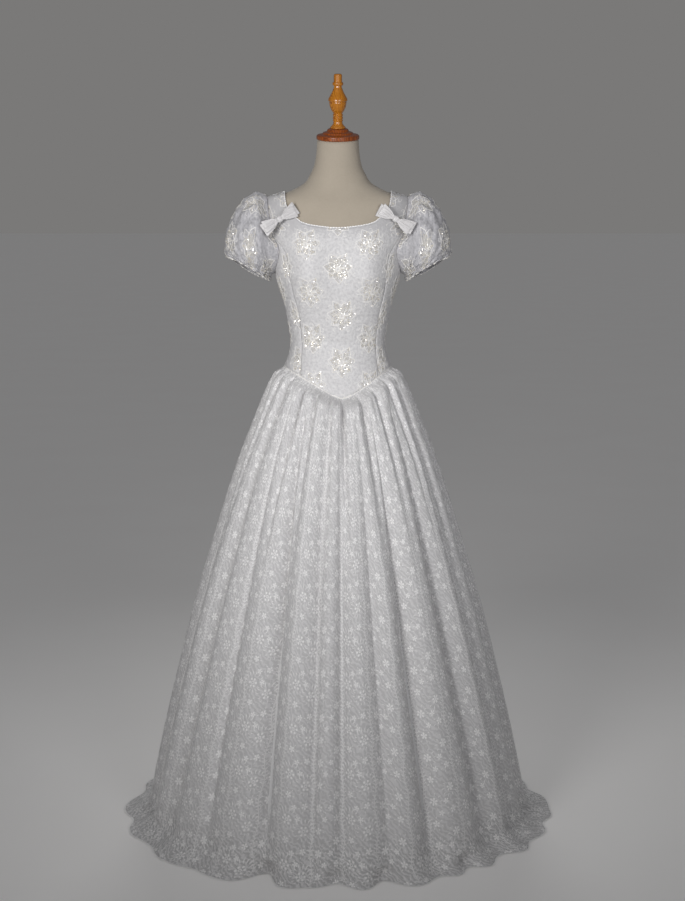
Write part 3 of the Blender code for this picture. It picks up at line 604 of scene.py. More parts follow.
def middle_grids(side, mirror, near_edge, columns, rows, steps, out, strap_out):
    """Half of a middle panel: its body and its strap."""
    neck = max(int(round(columns * NECK_SHARE)), 2)
    us = np.concatenate([np.linspace(0, NECK_SHARE, neck + 1),
                         np.linspace(NECK_SHARE, 1, columns - neck + 1)[1:]])
    u, share = np.meshgrid(us, np.linspace(0, 1, rows + 1))
    body = settle(u, share, side, mirror, middle_bearing(side, near_edge),
                  lambda v: middle_top(v, side), out)
    strap = strap_points(body[-1][neck:], side, mirror, steps, strap_out)
    return body, strap


def side_grid(side, mirror, columns, rows, out):
    u, share = np.meshgrid(np.linspace(0, 1, columns + 1), np.linspace(0, 1, rows + 1))
    return settle(u, share, side, mirror, side_bearing(side), side_top, out, 2)


def body_axis(point):
    """Inner line that the bodice wraps, used to tell out from in."""
    if point.z > STRAP_AXIS - STRAP_BAND and abs(point.x) > STRAP_NEAR:
        return (point.x, 0, STRAP_AXIS - STRAP_CORE)
    return (0, 0, min(point.z, BODY_CORE_TOP))


def panel_uv(grid, mirror=1, origin=0.0):
    """Cloth coordinates of a grid in metres: across from its first column, and height."""
    return np.stack([origin + mirror * arc_length(grid, 1), grid[..., 2]], axis=-1)


def middle_with_strap(side, mirror, near_edge):
    """Body and strap of half a middle panel with one run of cloth coordinates."""
    body, strap = middle_grids(side, mirror, near_edge, PANEL_COLUMNS, PANEL_ROWS, STRAP_STEPS,
                               creased, BODICE_OUT)
    body_uv = panel_uv(body, mirror)
    first = PANEL_COLUMNS - strap.shape[1] + 1
    return [(body, body_uv), (strap, panel_uv(strap, mirror, body_uv[-1, first, 0]))]


PANEL_COLUMNS = 40
PANEL_ROWS = 64
STRAP_STEPS = 36
SIDE_COLUMNS = 24
ZIP_HALF = math.degrees((ZIP_WIDTH / 2 + SEAM_GAP) / BACK_RADIUS)
halves = {(side, mirror): middle_with_strap(side, mirror, ZIP_HALF if side == "back" else 0.0)
          for side in ("front", "back") for mirror in (1, -1)}
bodice = {"bodice_centre_front":
          cloth("front_panel", halves["front", 1] + halves["front", -1], body_axis)}
for mirror, word in ((1, "left"), (-1, "right")):
    bodice[f"bodice_centre_back_{word}"] = cloth(f"back_panel_{word}", halves["back", mirror],
                                                 body_axis)
    for side in ("front", "back"):
        grid = side_grid(side, mirror, SIDE_COLUMNS, PANEL_ROWS, creased)
        bodice[f"bodice_side_{side}_{word}"] = cloth(f"side_{side}_panel_{word}",
                                                     [(grid, panel_uv(grid, mirror))], body_axis)


# Puff sleeves
def armhole_ring(mirror, count, out):
    """Closed line of the armhole from the shoulder over the front to the underarm."""
    lines = []
    for side in ("front", "back"):
        strap = middle_grids(side, mirror, 0.0 if side == "front" else ZIP_HALF, 16, 8, 24,
                             lambda p: np.full(p.shape[:-1], out), out)[1]
        under = side_grid(side, mirror, 16, 8, lambda p: np.full(p.shape[:-1], out))[-1]
        lines.append(np.concatenate([strap[::-1, -1], under[1:]]))
    loop = np.concatenate([lines[0], lines[1][::-1][1:], lines[0][:1]])
    reach = run_along(loop)
    want = np.linspace(0, reach[-1], count, endpoint=False)
    return np.stack([np.interp(want, reach, loop[:, k]) for k in range(3)], axis=-1)


# Soft pleats and dimples of a sleeve: angle round it from the top over the front, share of
# the way down, half widths of both and depth
SLEEVE_DENTS = (
    (-64.0, 0.16, 8.0, 0.26, 0.0050),
    (-36.0, 0.12, 6.5, 0.26, 0.0056),
    (-13.0, 0.12, 6.0, 0.30, 0.0060),
    (11.0, 0.10, 6.0, 0.36, 0.0066),
    (34.0, 0.14, 6.5, 0.30, 0.0060),
    (59.0, 0.18, 7.5, 0.24, 0.0052),
    (86.0, 0.34, 11.0, 0.20, 0.0062),
    (104.0, 0.78, 9.0, 0.34, 0.0066),
    (127.0, 0.86, 7.0, 0.34, 0.0056),
    (146.0, 0.90, 5.5, 0.36, 0.0050),
    (162.0, 0.90, 5.0, 0.36, 0.0050),
    (178.0, 0.90, 5.0, 0.38, 0.0052),
    (195.0, 0.90, 5.5, 0.36, 0.0050),
    (214.0, 0.88, 6.0, 0.36, 0.0054),
    (236.0, 0.84, 7.0, 0.34, 0.0058),
    (262.0, 0.60, 10.0, 0.36, 0.0066),
    (48.0, 0.88, 8.0, 0.20, 0.0046),
    (16.0, 0.92, 9.0, 0.22, 0.0042),
    (-20.0, 0.86, 9.0, 0.24, 0.0044),
)
SLEEVE_COLUMNS = 180
SLEEVE_RINGS = 42
ROOT_TUCK = 0.0008
# Fine crinkles of the sleeve: waves round it, waves down it, start in radians and depth; they
# begin below its head
SLEEVE_CRINKLES = ((9, 3.1, 0.4, 0.0011), (14, -4.3, 2.1, 0.0009), (21, 5.7, 4.0, 0.0007),
                   (6, -7.9, 1.2, 0.0009), (17, 9.2, 5.3, 0.0005))
CRINKLE_RISE = 4.0
# Rows along which the cloth coordinates of a sleeve, the lace skirt and the lining are measured
SLEEVE_RUN_ROW = 26
LACE_RUN_ROW = 80
LINING_RUN_ROW = 36


def crinkle(turn, down):
    return sum(depth * np.sin(round_waves * turn + 2 * np.pi * waves * down + start)
               for round_waves, waves, start, depth in SLEEVE_CRINKLES)


def angle_apart(a, b):
    return np.abs((a - b + 180.0) % 360.0 - 180.0)


def sleeve_grid(mirror):
    turn = np.linspace(0, 2 * np.pi, SLEEVE_COLUMNS, endpoint=False)
    root = armhole_ring(mirror, SLEEVE_COLUMNS, BODICE_OUT - ROOT_TUCK)
    away = root - root.mean(axis=0)
    away[:, 0] = 0
    away /= np.linalg.norm(away, axis=-1, keepdims=True)
    rings = []
    for share in (0.0, 0.5, 1.0):
        grow = (share * between(HEAD_UNDER, 1.0, 0.5 + 0.5 * away[:, 2]))[:, None]
        rings.append(root + np.array([mirror, 0, 0]) * between(*HEAD_OUT, grow)
                     + away * between(*HEAD_OVER, grow))
    keys = np.arange(len(SLEEVE_ROWS))
    reads = columns_of(SLEEVE_ROWS)
    height, across = np.cos(turn), np.sin(turn)
    weight = between(PLEAT_UNDER, 1.0, 0.5 + 0.5 * height)
    for t in np.linspace(0, keys[-1], SLEEVE_RINGS):
        top_x, top_z, low_x, low_z, half_depth, pleat = (smooth_read(keys, r, t) for r in reads)
        top, low = np.array([mirror * top_x, 0, top_z]), np.array([mirror * low_x, 0, low_z])
        middle, rise = (top + low) / 2, (top - low) / 2
        along = rise / np.linalg.norm(rise)
        point = middle + rise * height[:, None] + stack(0.0, -half_depth * across, 0.0)
        out = along * height[:, None] + stack(0.0, -across, 0.0)
        sag = SLEEVE_SAG * np.maximum(-across, 0) ** 2 - SLEEVE_LIFT * np.maximum(across, 0) ** 2
        sag = sag * ease((SLEEVE_MIDDLE - middle[2]) / SAG_FADE)
        dent = PLEAT_SHARE * pleat * weight
        for degrees, share, half_turn, half_share, depth in SLEEVE_DENTS:
            off = angle_apart(np.degrees(turn), degrees % 360.0) / half_turn
            far = (t / keys[-1] - share) / half_share
            dent = dent + depth * np.exp(-off ** 2 - far ** 2)
        dent = dent + crinkle(turn, t / keys[-1]) * ease(CRINKLE_RISE * t / keys[-1])
        rings.append(point - out * dent[:, None] - stack(0.0, 0.0, sag))
    first, second = rings[2], rings[3]
    bridge = [between(first, second, share) for share in (0.2, 0.4, 0.6, 0.8)]
    grid = np.stack(rings[:3] + bridge + rings[3:])
    grid = np.roll(grid, -SLEEVE_COLUMNS // 2, axis=1)
    return np.concatenate([grid, grid[:, :1]], axis=1)


sleeves, sleeve_hems = {}, {}
for mirror, word in ((1, "left"), (-1, "right")):
    grid = sleeve_grid(mirror)
    around = arc_length(grid[SLEEVE_RUN_ROW:SLEEVE_RUN_ROW + 1], 1)[0]
    down = arc_length(grid, 0)
    uv = np.stack([np.broadcast_to(around, down.shape), down.max() - down], axis=-1)
    middles = grid[:, :-1].mean(axis=1)
    sleeves[word] = cloth(f"puff_sleeve_{word}", [(grid, uv)],
                          lambda p, m=middles: m[np.argmin(((m - np.array(p)) ** 2).sum(1))])
    sleeve_hems[word] = (grid[-1], grid[-2], middles[-1])


# Skirt
SKIRT_READ = columns_of(SKIRT_ROWS)


def skirt_forward(z):
    return SKIRT_FORWARD * ease(FORWARD_TOP - z)


# Fine gathers at the waist and slack waves lower down: count round the waist, start in
# degrees and depth
FINE_GATHERS = ((61, 12.0, 0.0009), (83, 40.0, 0.0006), (37, 75.0, 0.0016))
WAIST_TUCK = 0.004
# Drop below the waist over which the skirt leaves the form: without and with the gathers
HOLD_PLAIN = 0.050
HOLD_FINE = 0.014
GATHER_SWELL = 0.0075
# The gathers' valleys: depth, how narrow they are, how even round the waist, and waves that
# shift them: size, count round the waist and start
VALLEY_DEPTH = 0.024
VALLEY_SHARPNESS = 6
VALLEY_EVENNESS = 0.75
VALLEY_BEAT = 17
VALLEY_SHIFTS = ((0.9, 5, 0.6), (0.6, 11, 0.0))
# Shares of the way down at which valleys are full and at which they end, and how they fade
SHORT_FULL = 0.012
SHORT_END = 0.42
SHORT_BEND = 1.2
SLACK_WAVES = ((17, 20.0, 0.0036), (29, 65.0, 0.0024), (43, 5.0, 0.0012))
SLACK_FROM = 0.12
SLACK_OVER = 0.4
SLACK_DRIFT = 40.0
# Sharp middle of each broad fold: share of its depth, width in degrees, lowest height and fade
CREASE_SHARE = 0.62
CREASE_WIDTH = 1.3
CREASE_LOW = 0.03
CREASE_FADE = 0.12
# How the rows of the skirt crowd towards the waist and the hem
ROWS_AT_WAIST = 1.25
ROWS_AT_HEM = 1.6


def skirt_point(degrees, z, clear, inset, fold_share, gather, fine=0.0):
    """Points of the skirt at bearings and heights; folds and gathers only draw it in."""
    top = waist_height(degrees)
    down = (top - z) / top
    side, front, back = (smooth_read(SKIRT_READ[0], values, z) for values in SKIRT_READ[1:])
    turn = np.radians(degrees)
    depth = np.where(np.cos(turn) > 0, front, back)
    radius = 1 / np.sqrt((np.sin(turn) / side) ** 2 + (np.cos(turn) / depth) ** 2)
    for waist_deg, hem_deg, fold, width in FOLD_ROWS:
        gap = angle_apart(degrees, between(waist_deg, hem_deg, down))
        grow = between(FOLD_START, 1.0, ease(down / FOLD_FULL)) * ease(down / FOLD_FREE)
        radius = radius - fold * fold_share * grow * np.exp(-(gap / width) ** 2)
        sharp = fine * CREASE_SHARE * fold * ease((z - CREASE_LOW) / CREASE_FADE) * grow
        radius = radius - sharp * np.exp(-(gap / CREASE_WIDTH) ** 2)
    for centre, ripple, width in RIPPLE_ROWS:
        gap = angle_apart(degrees, centre)
        grow = ease((RIPPLE_TOP - z) / RIPPLE_TOP)
        radius = radius - ripple * grow * np.exp(-(gap / width) ** 2)
    fade = np.minimum(down / GATHER_FULL, 1.0)
    fade = fade * np.maximum(1 - down / GATHER_END, 0.0) ** GATHER_BEND
    radius = radius - gather * fade * (0.5 - 0.5 * np.cos(turn * GATHERS)) - inset
    short = np.clip(down / SHORT_FULL, 0.0, 1.0)
    short = short * np.maximum(1 - down / SHORT_END, 0.0) ** SHORT_BEND
    uneven = turn * GATHERS
    for size, count, start in VALLEY_SHIFTS:
        uneven = uneven + size * np.sin(turn * count + start)
    valley = (0.5 - 0.5 * np.cos(uneven)) ** VALLEY_SHARPNESS
    valley = valley * between(np.sin(turn * VALLEY_BEAT), 1.0, VALLEY_EVENNESS)
    radius = radius + fine * GATHER_SWELL * short
    radius = radius - fine * VALLEY_DEPTH * short * valley
    for count, start, depth in FINE_GATHERS:
        wave = 0.5 - 0.5 * np.cos(np.radians(degrees * count + start))
        radius = radius - fine * depth * short * wave
    slack = ease((down - SLACK_FROM) / SLACK_OVER)
    for count, start, depth in SLACK_WAVES:
        wave = 0.5 - 0.5 * np.cos(np.radians(degrees * count + start + SLACK_DRIFT * down))
        radius = radius - fine * depth * slack * wave
    near = z > HIP_LOW
    base = np.linalg.norm(skin(degrees, np.where(near, z, 1.0), 0.0)[..., :2], axis=-1) + clear
    leave = ease((top - z) / between(HOLD_PLAIN, HOLD_FINE, fine))
    held = between(base, np.maximum(radius, base + HIP_CLEAR), leave)
    radius = np.where(near, held, radius)
    return stack(np.sin(turn) * radius, -np.cos(turn) * radius + skirt_forward(z), z)


def skirt_grid(facing, hem, columns, rows, clear, inset, fold_share, gather, drop, fine=0.0):
    """Front (facing 0) or back (facing 180) half, side seam to side seam."""
    reach = 90.0 - SIDE_SEAM_INSET
    degrees = np.linspace(facing - reach, facing + reach, columns + 1)
    t = np.linspace(0, 1, rows + 1)
    level = between(t ** ROWS_AT_WAIST, 1 - (1 - t) ** ROWS_AT_HEM, t)
    degrees, level = np.meshgrid(degrees, level)
    z = between(waist_height(degrees) - drop, hem, level)
    return skirt_point(degrees, z, clear, inset, fold_share, gather, fine)


def upright_axis(point):
    return (0, float(skirt_forward(point.z)), point.z)


def cloth_run(grid, row):
    """Cloth coordinates of a hanging piece: along one of its rows, and up from the hem."""
    along = arc_length(grid[row:row + 1], 1)[0]
    up = arc_length(grid[::-1], 0)[::-1]
    return np.stack([np.broadcast_to(along, up.shape), up], axis=-1)


SKIRT_COLUMNS = 300
SKIRT_ROW_COUNT = 100
LINING_COLUMNS = 110
LINING_ROW_COUNT = 46
skirt = {}
for word, facing in (("front", 0.0), ("back", 180.0)):
    grid = skirt_grid(facing, LACE_HEM, SKIRT_COLUMNS, SKIRT_ROW_COUNT, LACE_CLEAR, 0.0, 1.0,
                      GATHER_DEPTH, -WAIST_TUCK, 1.0)
    skirt[f"skirt_lace_{word}"] = cloth(f"lace_skirt_{word}",
                                        [(grid, cloth_run(grid, LACE_RUN_ROW))], upright_axis)
    grid = skirt_grid(facing, LINING_HEM, LINING_COLUMNS, LINING_ROW_COUNT, LINING_CLEAR,
                      LINING_INSET, LINING_FOLDS, 0.0, LINING_DROP)
    skirt[f"skirt_lining_{word}"] = cloth(f"satin_lining_{word}",
                                          [(grid, cloth_run(grid, LINING_RUN_ROW))], upright_axis)


# Ribbon bows
def bow_frame(mirror):
    along = Vector((mirror * math.cos(BOW_SLOPE), -BOW_LEAN, -math.sin(BOW_SLOPE))).normalized()
    outward = Vector((0, -1, 0)) - along * along.dot(Vector((0, -1, 0)))
    outward.normalize()
    across = outward.cross(along)
    middle = Vector((mirror * BOW_PLACE[0], BOW_PLACE[1], BOW_PLACE[2]))
    return (np.array(v) for v in (middle, along, across, outward))


# Layers of each bow: share of its full length and width, how far out it lies and its turn in
# degrees. Then the creases that run out from the knot: side, place across, half width and depth
BOW_LAYERS = ((1.0, 0.98, 0.0, 3.5), (0.90, 0.90, 0.0026, -4.0))
BOW_CREASES = ((1, -0.30, 0.14, 0.0027), (1, 0.34, 0.12, 0.0022), (-1, 0.10, 0.14, 0.0028),
               (-1, -0.50, 0.12, 0.0020), (1, 0.75, 0.12, 0.0014), (-1, 0.62, 0.12, 0.0018))


# A soft wave across the ribbon, how fast a loop opens and how fast it thickens
BOW_WAVE = 0.0016
BOW_OPENING = 0.55
BOW_ROUNDING = 1.3
# The knot stands off the ribbon across and out from it, and bulges in its middle
KNOT_OFF = (0.0016, 0.0014)
KNOT_BULGE = (0.0006, 0.0010)


def ribbon_layer(axes, share, wide, lift, degrees):
    """Flat ring of ribbon with both ends folded back to the knot."""
    middle, along, across, outward = axes
    c, s = math.cos(math.radians(degrees)), math.sin(math.radians(degrees))
    along, across = along * c + across * s, across * c - along * s
    turn, place = np.meshgrid(np.linspace(0, 2 * np.pi, 97), np.linspace(-1, 1, 25))
    far = np.cos(turn)
    depth = np.sin(turn) * (BOW_HALF_GAP + BOW_PUFF * np.abs(far) ** BOW_ROUNDING)
    reach = np.abs(far) * BOW_HALF_LENGTH
    spread = np.maximum(reach - KNOT_LENGTH, 0) / (BOW_HALF_LENGTH - KNOT_LENGTH)
    half = between(BOW_WAIST, BOW_HALF_WIDTH * wide, spread ** BOW_OPENING)
    crease = BOW_WAVE * spread * np.cos(place * math.pi * 1.5)
    for side, centre, width, deep in BOW_CREASES:
        on = ease(side * far * 3.0) * ease(spread * 5.0) * (1.0 - 0.65 * spread)
        crease = crease - deep * on * np.exp(-((place - centre) / width) ** 2)
    out = depth + crease * np.sin(turn) + lift * ease(reach / KNOT_LENGTH)
    grid = (middle + along * (far * share * BOW_HALF_LENGTH)[..., None]
            + across * (half * place)[..., None] + outward * out[..., None])
    return grid, np.stack([place * BOW_HALF_WIDTH, turn * BOW_HALF_LENGTH], axis=-1)


bows, knots = {}, {}
for mirror, word in ((1, "left"), (-1, "right")):
    axes = tuple(bow_frame(mirror))
    middle, along, across, outward = axes
    bows[word] = cloth(f"ribbon_loops_{word}", [ribbon_layer(axes, *row) for row in BOW_LAYERS],
                       lambda p, m=middle, a=along: m + a * np.dot(np.array(p) - m, a) * 0.9)
    turn, step = np.meshgrid(np.linspace(0, 2 * np.pi, 49), np.linspace(0, 1, 13))
    bulge = 1 - (step * 2 - 1) ** 2
    c, s = np.cos(turn), np.sin(turn)
    round_out = (np.abs(c) ** 4 + np.abs(s) ** 4) ** -0.25
    wide = (BOW_WAIST + KNOT_OFF[0] + KNOT_BULGE[0] * bulge) * round_out
    deep = (BOW_HALF_GAP + RIBBON_CLOTH + KNOT_OFF[1] + KNOT_BULGE[1] * bulge) * round_out
    grid = (middle + along * (KNOT_LENGTH * (step - 0.5))[..., None]
            + across * (wide * c)[..., None] + outward * (deep * s)[..., None])
    uv = np.stack([step * KNOT_LENGTH, turn * BOW_WAIST], axis=-1)
    knots[word] = cloth(f"ribbon_knot_{word}", [(grid, uv)],
                        lambda p, m=middle, a=along: m + a * np.dot(np.array(p) - m, a))


# Dress form and stand
def form_piece():
    levels = np.concatenate([[FORM_FOOT], np.linspace(0.853, NECK_TOP, 120)])
    degrees, z = np.meshgrid(np.linspace(0, 360, 96, endpoint=False), levels)
    grid = skin(degrees, z, -FORM_INSET)
    grid[0, :, 2] = FORM_FOOT
    tilt = np.tan(NECK_TILT) * ease((z - NECK_ROOT) / (NECK_TOP - NECK_ROOT))
    grid[..., 2] += grid[..., 1] * tilt
    return capped_tube("linen_form", grid)


linen_form = form_piece()
neck_place = Matrix.Translation((0, 0, NECK_TOP)) @ Matrix.Rotation(NECK_TILT, 4, "X")
wood_cap = turned("wood_neck_cap", CAP_PROFILE, 72,
                  neck_place @ Matrix.Translation((0, 0, SEAM_GAP)))
wood_finial = turned("wood_finial", FINIAL_PROFILE, 48,
                     neck_place @ Matrix.Translation((0, 0, CAP_PROFILE[-1][1] + 2 * SEAM_GAP)))
wood_foot = turned("wood_foot", BASE_PROFILE, 96, Matrix.Identity(4))

# Closed zip down the middle of the back
rows = np.linspace(WAIST_BACK + ZIP_FOOT, NECKLINE["back"][0] - ZIP_HEAD, 60)
line = skin(180.0, rows, BODICE_OUT)
x = np.linspace(-ZIP_WIDTH / 2, ZIP_WIDTH / 2, 7)
grid = line[:, None, :] + stack(x, 0.0, 0.0)[None]
zip_tape = cloth("zip_tape_back", [(grid, panel_uv(grid))], body_axis)


# Lace figures, drawn flat in millimetres and laid on the cloth: every figure is a low raised
# shape whose rim sits in the cloth
RIM = -0.1
# A flower's petals overlap: their widths together, in radii; and the share of its heart
PETAL_FILL = 3.4
HEART_SHARE = 0.20


def new_lace():
    return {"points": [], "faces": []}


def raised_patch(lace, outline, rise):
    """Low dome over an outline."""
    first = len(lace["points"])
    lace["points"] += [(x, y, RIM) for x, y in outline]
    lace["points"].append((*np.mean(outline, axis=0), rise))
    count = len(outline)
    lace["faces"] += [(first + i, first + (i + 1) % count, first + count) for i in range(count)]


def raised_cord(lace, path, width, rise, closed=False):
    """Rounded cord along a path, highest in its middle."""
    path = np.array(path, float)
    if closed:
        run = np.roll(path, -1, axis=0) - np.roll(path, 1, axis=0)
    else:
        run = np.gradient(path, axis=0)
    run /= np.linalg.norm(run, axis=1, keepdims=True)
    side = np.stack([-run[:, 1], run[:, 0]], axis=1) * width / 2
    first, count = len(lace["points"]), len(path)
    for edge, height in ((path - side, RIM), (path, rise), (path + side, RIM)):
        lace["points"] += [(x, y, height) for x, y in edge]
    for i in range(count if closed else count - 1):
        j = (i + 1) % count
        for line in (0, count):
            a, b = first + line + i, first + line + j
            lace["faces"].append((a, b, b + count, a + count))


# Petal and stroke outlines: share of the length and share of the width there
PETAL = ((0.06, 0.20), (0.45, 0.82), (0.80, 1.0), (1.0, 0.45))
STROKE = ((0.0, 0.2), (0.5, 1.0), (1.0, 0.15))


def placed(flat, x, y, degrees):
    """Flat points turned to a bearing and moved to their root."""
    turn = math.radians(degrees)
    c, s = math.cos(turn), math.sin(turn)
    return np.array(flat) @ np.array([(c, s), (-s, c)]) + np.array([x, y])


def petal(x, y, degrees, length, width):
    """Outline of a petal from its root."""
    side = [(t * length, h * width / 2) for t, h in PETAL]
    return placed([(a, -b) for a, b in side] + side[::-1], x, y, degrees)


def flower(lace, x, y, radius, petals, turn, rise):
    for i in range(petals):
        bearing = turn + 360.0 * i / petals
        raised_patch(lace, petal(x, y, bearing, radius, radius * PETAL_FILL / petals), rise)
    raised_patch(lace, ring_path(x, y, radius * HEART_SHARE, 6), rise * 1.5)


def ring_path(x, y, radius, count, start=0.0, sweep=360.0):
    closed = abs(sweep) >= 360.0
    turn = np.radians(start + np.linspace(0, sweep, count, endpoint=not closed))
    return np.stack([x + radius * np.cos(turn), y + radius * np.sin(turn)], axis=1)


# Skirt lace, one repeat: a ringed blossom under a fountain of curved strokes, a flower in a
# wheel of strokes, small flowers and a fern between them
LACE_REPEAT = (84.0, 100.0)
RING_BLOSSOM = (20.0, 24.0)
# Flowers: middle, radius, petals and bearing of the first one
WHEEL_FLOWER = (62.0, 72.0, 10.5, 6, 15.0)
SMALL_FLOWERS = ((62.0, 22.0, 8.5, 5, 20.0), (20.0, 79.0, 8.0, 5, 60.0),
                 (77.0, 46.0, 7.0, 5, 0.0), (5.0, 52.0, 7.0, 5, 35.0))
# A spray's strokes start on a small ring: middle, first bearing, step, number, inner and
# outer reach
SPRAYS = ((20.0, 24.0, 8.0, 23.4, 8, 15.0, 32.0), (20.0, 24.0, 205.0, 26.0, 6, 14.5, 24.0),
          (62.0, 72.0, 0.0, 36.0, 10, 12.5, 24.0), (62.0, 22.0, 30.0, 51.4, 7, 10.5, 18.0),
          (20.0, 79.0, 10.0, 60.0, 6, 10.0, 16.5))
FERN_STEP = 8.3
FERN_MIDDLE = 42.0
FERN_WAVE = 3.5
FERN_LEAF_OFF = 0.9
FERN_LEAF_TURN = 52.0
FERN_LEAF_LENGTH = 8.5
STROKE_WIDTH = 2.3
STROKE_BEND = 0.18
STROKE_RISE = 0.45
FLOWER_RISE = 0.5


def stroke(lace, x, y, degrees, length, bend):
    """Short curved stroke of satin stitch from a root."""
    side = [(t * length, h * STROKE_WIDTH / 2, bend * length * 4 * t * (1 - t))
            for t, h in STROKE]
    flat = [(a, b + c) for a, b, c in side] + [(a, c - b) for a, b, c in side[::-1]]
    raised_patch(lace, placed(flat, x, y, degrees)[::-1], STROKE_RISE)


def skirt_lace_figure():
    lace = new_lace()
    x, y = RING_BLOSSOM
    for k, root in enumerate(ring_path(x, y, 4.6, 6)):
        raised_patch(lace, petal(*root, 60.0 * k, 7.6, 7.0), FLOWER_RISE)
    raised_cord(lace, ring_path(x, y, 3.2, 8), 2.0, 0.6, True)
    for row in (WHEEL_FLOWER, *SMALL_FLOWERS):
        flower(lace, *row, FLOWER_RISE)
    for x, y, first, step, count, inner, outer in SPRAYS:
        for k in range(count):
            degrees = first + step * k
            root = ring_path(x, y, inner, 1, degrees)[0]
            stroke(lace, *root, degrees, outer - inner, STROKE_BEND)
    for k in range(int(LACE_REPEAT[1] / FERN_STEP)):
        y = FERN_STEP * (k + 0.3)
        x = fern_middle(y)
        for side in (1, -1):
            stroke(lace, x + side * FERN_LEAF_OFF, y, 90.0 - side * FERN_LEAF_TURN,
                   FERN_LEAF_LENGTH, side * STROKE_BEND)
    y = np.linspace(0, LACE_REPEAT[1], 11)
    raised_cord(lace, np.stack([fern_middle(y), y], axis=1), 1.5, 0.5)
    return lace


def fern_middle(y):
    return FERN_MIDDLE + FERN_WAVE * np.sin(2 * np.pi * y / LACE_REPEAT[1])


# Corded figure of the bodice and sleeves: bearing, length and width of each petal, and the
# bearing, reach and radius of each small curl
FIGURE_REPEAT = (78.0, 112.0)
FIGURE_PETALS = ((60.0, 42.0, 27.0), (120.0, 42.0, 27.0), (10.0, 37.0, 26.0),
                 (170.0, 37.0, 26.0), (-40.0, 33.0, 25.0), (-140.0, 33.0, 25.0),
                 (-90.0, 35.0, 28.0))
FIGURE_CURLS = ((90.0, 34.0, 5.0), (38.0, 36.0, 4.6), (142.0, 36.0, 4.6), (-12.0, 36.0, 4.2),
                (-168.0, 36.0, 4.2), (-62.0, 36.0, 4.2), (-118.0, 36.0, 4.2))


def petal_path(degrees, length, width, count, share):
    """Closed pointed petal from near the figure's middle."""
    t = np.linspace(0, 2 * np.pi, count, endpoint=False)
    s = 0.5 - 0.5 * np.cos(t)
    along = length * (0.12 + 0.88 * between(0.5, s, share))
    across = np.sign(np.sin(t)) * width / 2 * share * np.sin(np.pi * s ** 0.72)
    turn = math.radians(degrees)
    return np.stack([along * math.cos(turn) - across * math.sin(turn),
                     along * math.sin(turn) + across * math.cos(turn)], axis=1)


# Width and rise of each cord of the figure, the steps round a petal's outline and the
# ends of its vein as shares of its length
PETAL_CORD = (1.5, 0.9)
VEIN_CORD = (1.2, 0.6)
CURL_CORD = (1.1, 0.7)
HEART_CORD = (1.2, 0.8)
PETAL_STEPS = 16
VEIN_SHARES = (0.0, 0.35, 0.62)
FILL_SHARE = 0.97
FILL_RISE = 0.25


def corded_figure():
    lace = new_lace()
    for row in FIGURE_PETALS:
        outline = petal_path(*row, PETAL_STEPS, 1.0)
        raised_cord(lace, outline, *PETAL_CORD, True)
        root, tip = outline[0], outline[PETAL_STEPS // 2]
        raised_cord(lace, [between(root, tip, share) for share in VEIN_SHARES], *VEIN_CORD)
    for degrees, reach, radius in FIGURE_CURLS:
        x, y = ring_path(0.0, 0.0, reach, 1, degrees)[0]
        raised_cord(lace, ring_path(x, y, radius, 8, degrees + 150, 250), *CURL_CORD)
    raised_cord(lace, ring_path(0.0, 0.0, 3.4, 8), *HEART_CORD, True)
    return lace


def petal_figure():
    """Sheer filling inside each petal of the figure."""
    lace = new_lace()
    for row in FIGURE_PETALS:
        raised_patch(lace, petal_path(*row, 12, FILL_SHARE), FILL_RISE)
    return lace


# Sequins: radius, height of the rim and of the middle, how much they tilt, and how many lie
# at each share of a petal's size
SEQUIN_RADIUS = 1.55
SEQUIN_RIM = 0.85
SEQUIN_MIDDLE = 0.5
SEQUIN_TILT = 0.30
SEQUIN_PLACES = ((0.25, 2), (0.52, 3), (0.80, 3))
BEAD_RADIUS = 0.95
BEAD_HEIGHT = 1.1
BEADS_A_PETAL = 3


def sequin_figure(rng):
    """Cupped discs along and inside the petals, tilted each way so that some catch the light."""
    lace = new_lace()
    spots = []
    for row in FIGURE_PETALS:
        for share, some in SEQUIN_PLACES:
            path = petal_path(*row, 12, share)
            spots += [path[k] for k in rng.choice(12, some, replace=False)]
    spots += list(ring_path(0.0, 0.0, 8.5, 8))
    for x, y in spots:
        first = len(lace["points"])
        lean = rng.normal(0.0, SEQUIN_TILT, 2)
        for px, py in ring_path(x, y, SEQUIN_RADIUS, 6):
            high = SEQUIN_RIM + lean[0] * (px - x) + lean[1] * (py - y)
            lace["points"].append((px, py, high))
        lace["points"].append((x, y, SEQUIN_MIDDLE))
        lace["faces"] += [(first + i, first + (i + 1) % 6, first + 6) for i in range(6)]
    return lace


def round_bead(lace, x, y, radius, height):
    first = len(lace["points"])
    lace["points"] += [(px, py, height) for px, py in ring_path(x, y, radius, 5)]
    lace["points"] += [(x, y, height + radius), (x, y, height - radius)]
    for i in range(5):
        j = (i + 1) % 5
        lace["faces"] += [(first + i, first + j, first + 5), (first + j, first + i, first + 6)]


def bead_figure(rng):
    """Small round beads on the cords and in the middle of the flower."""
    lace = new_lace()
    spots = [(0.0, 0.0)]
    for row in FIGURE_PETALS:
        path = petal_path(*row, 10, 1.0)
        spots += [path[k] for k in rng.choice(10, BEADS_A_PETAL, replace=False)]
    for x, y in spots:
        round_bead(lace, x, y, BEAD_RADIUS, BEAD_HEIGHT)
    return lace


def figure_object(name, lace):
    points = np.array(lace["points"], float) * 0.001
    return mesh_object(name, points, lace["faces"])


# Finishes. Colours are sRGB hex values, sizes of patterns are in metres
def colour(hex_text):
    """Linear colour from an sRGB hex value."""
    parts = [int(hex_text[i:i + 2], 16) / 255 for i in (0, 2, 4)]
    linear = [c / 12.92 if c <= 0.04045 else ((c + 0.055) / 1.055) ** 2.4 for c in parts]
    return (*linear, 1.0)


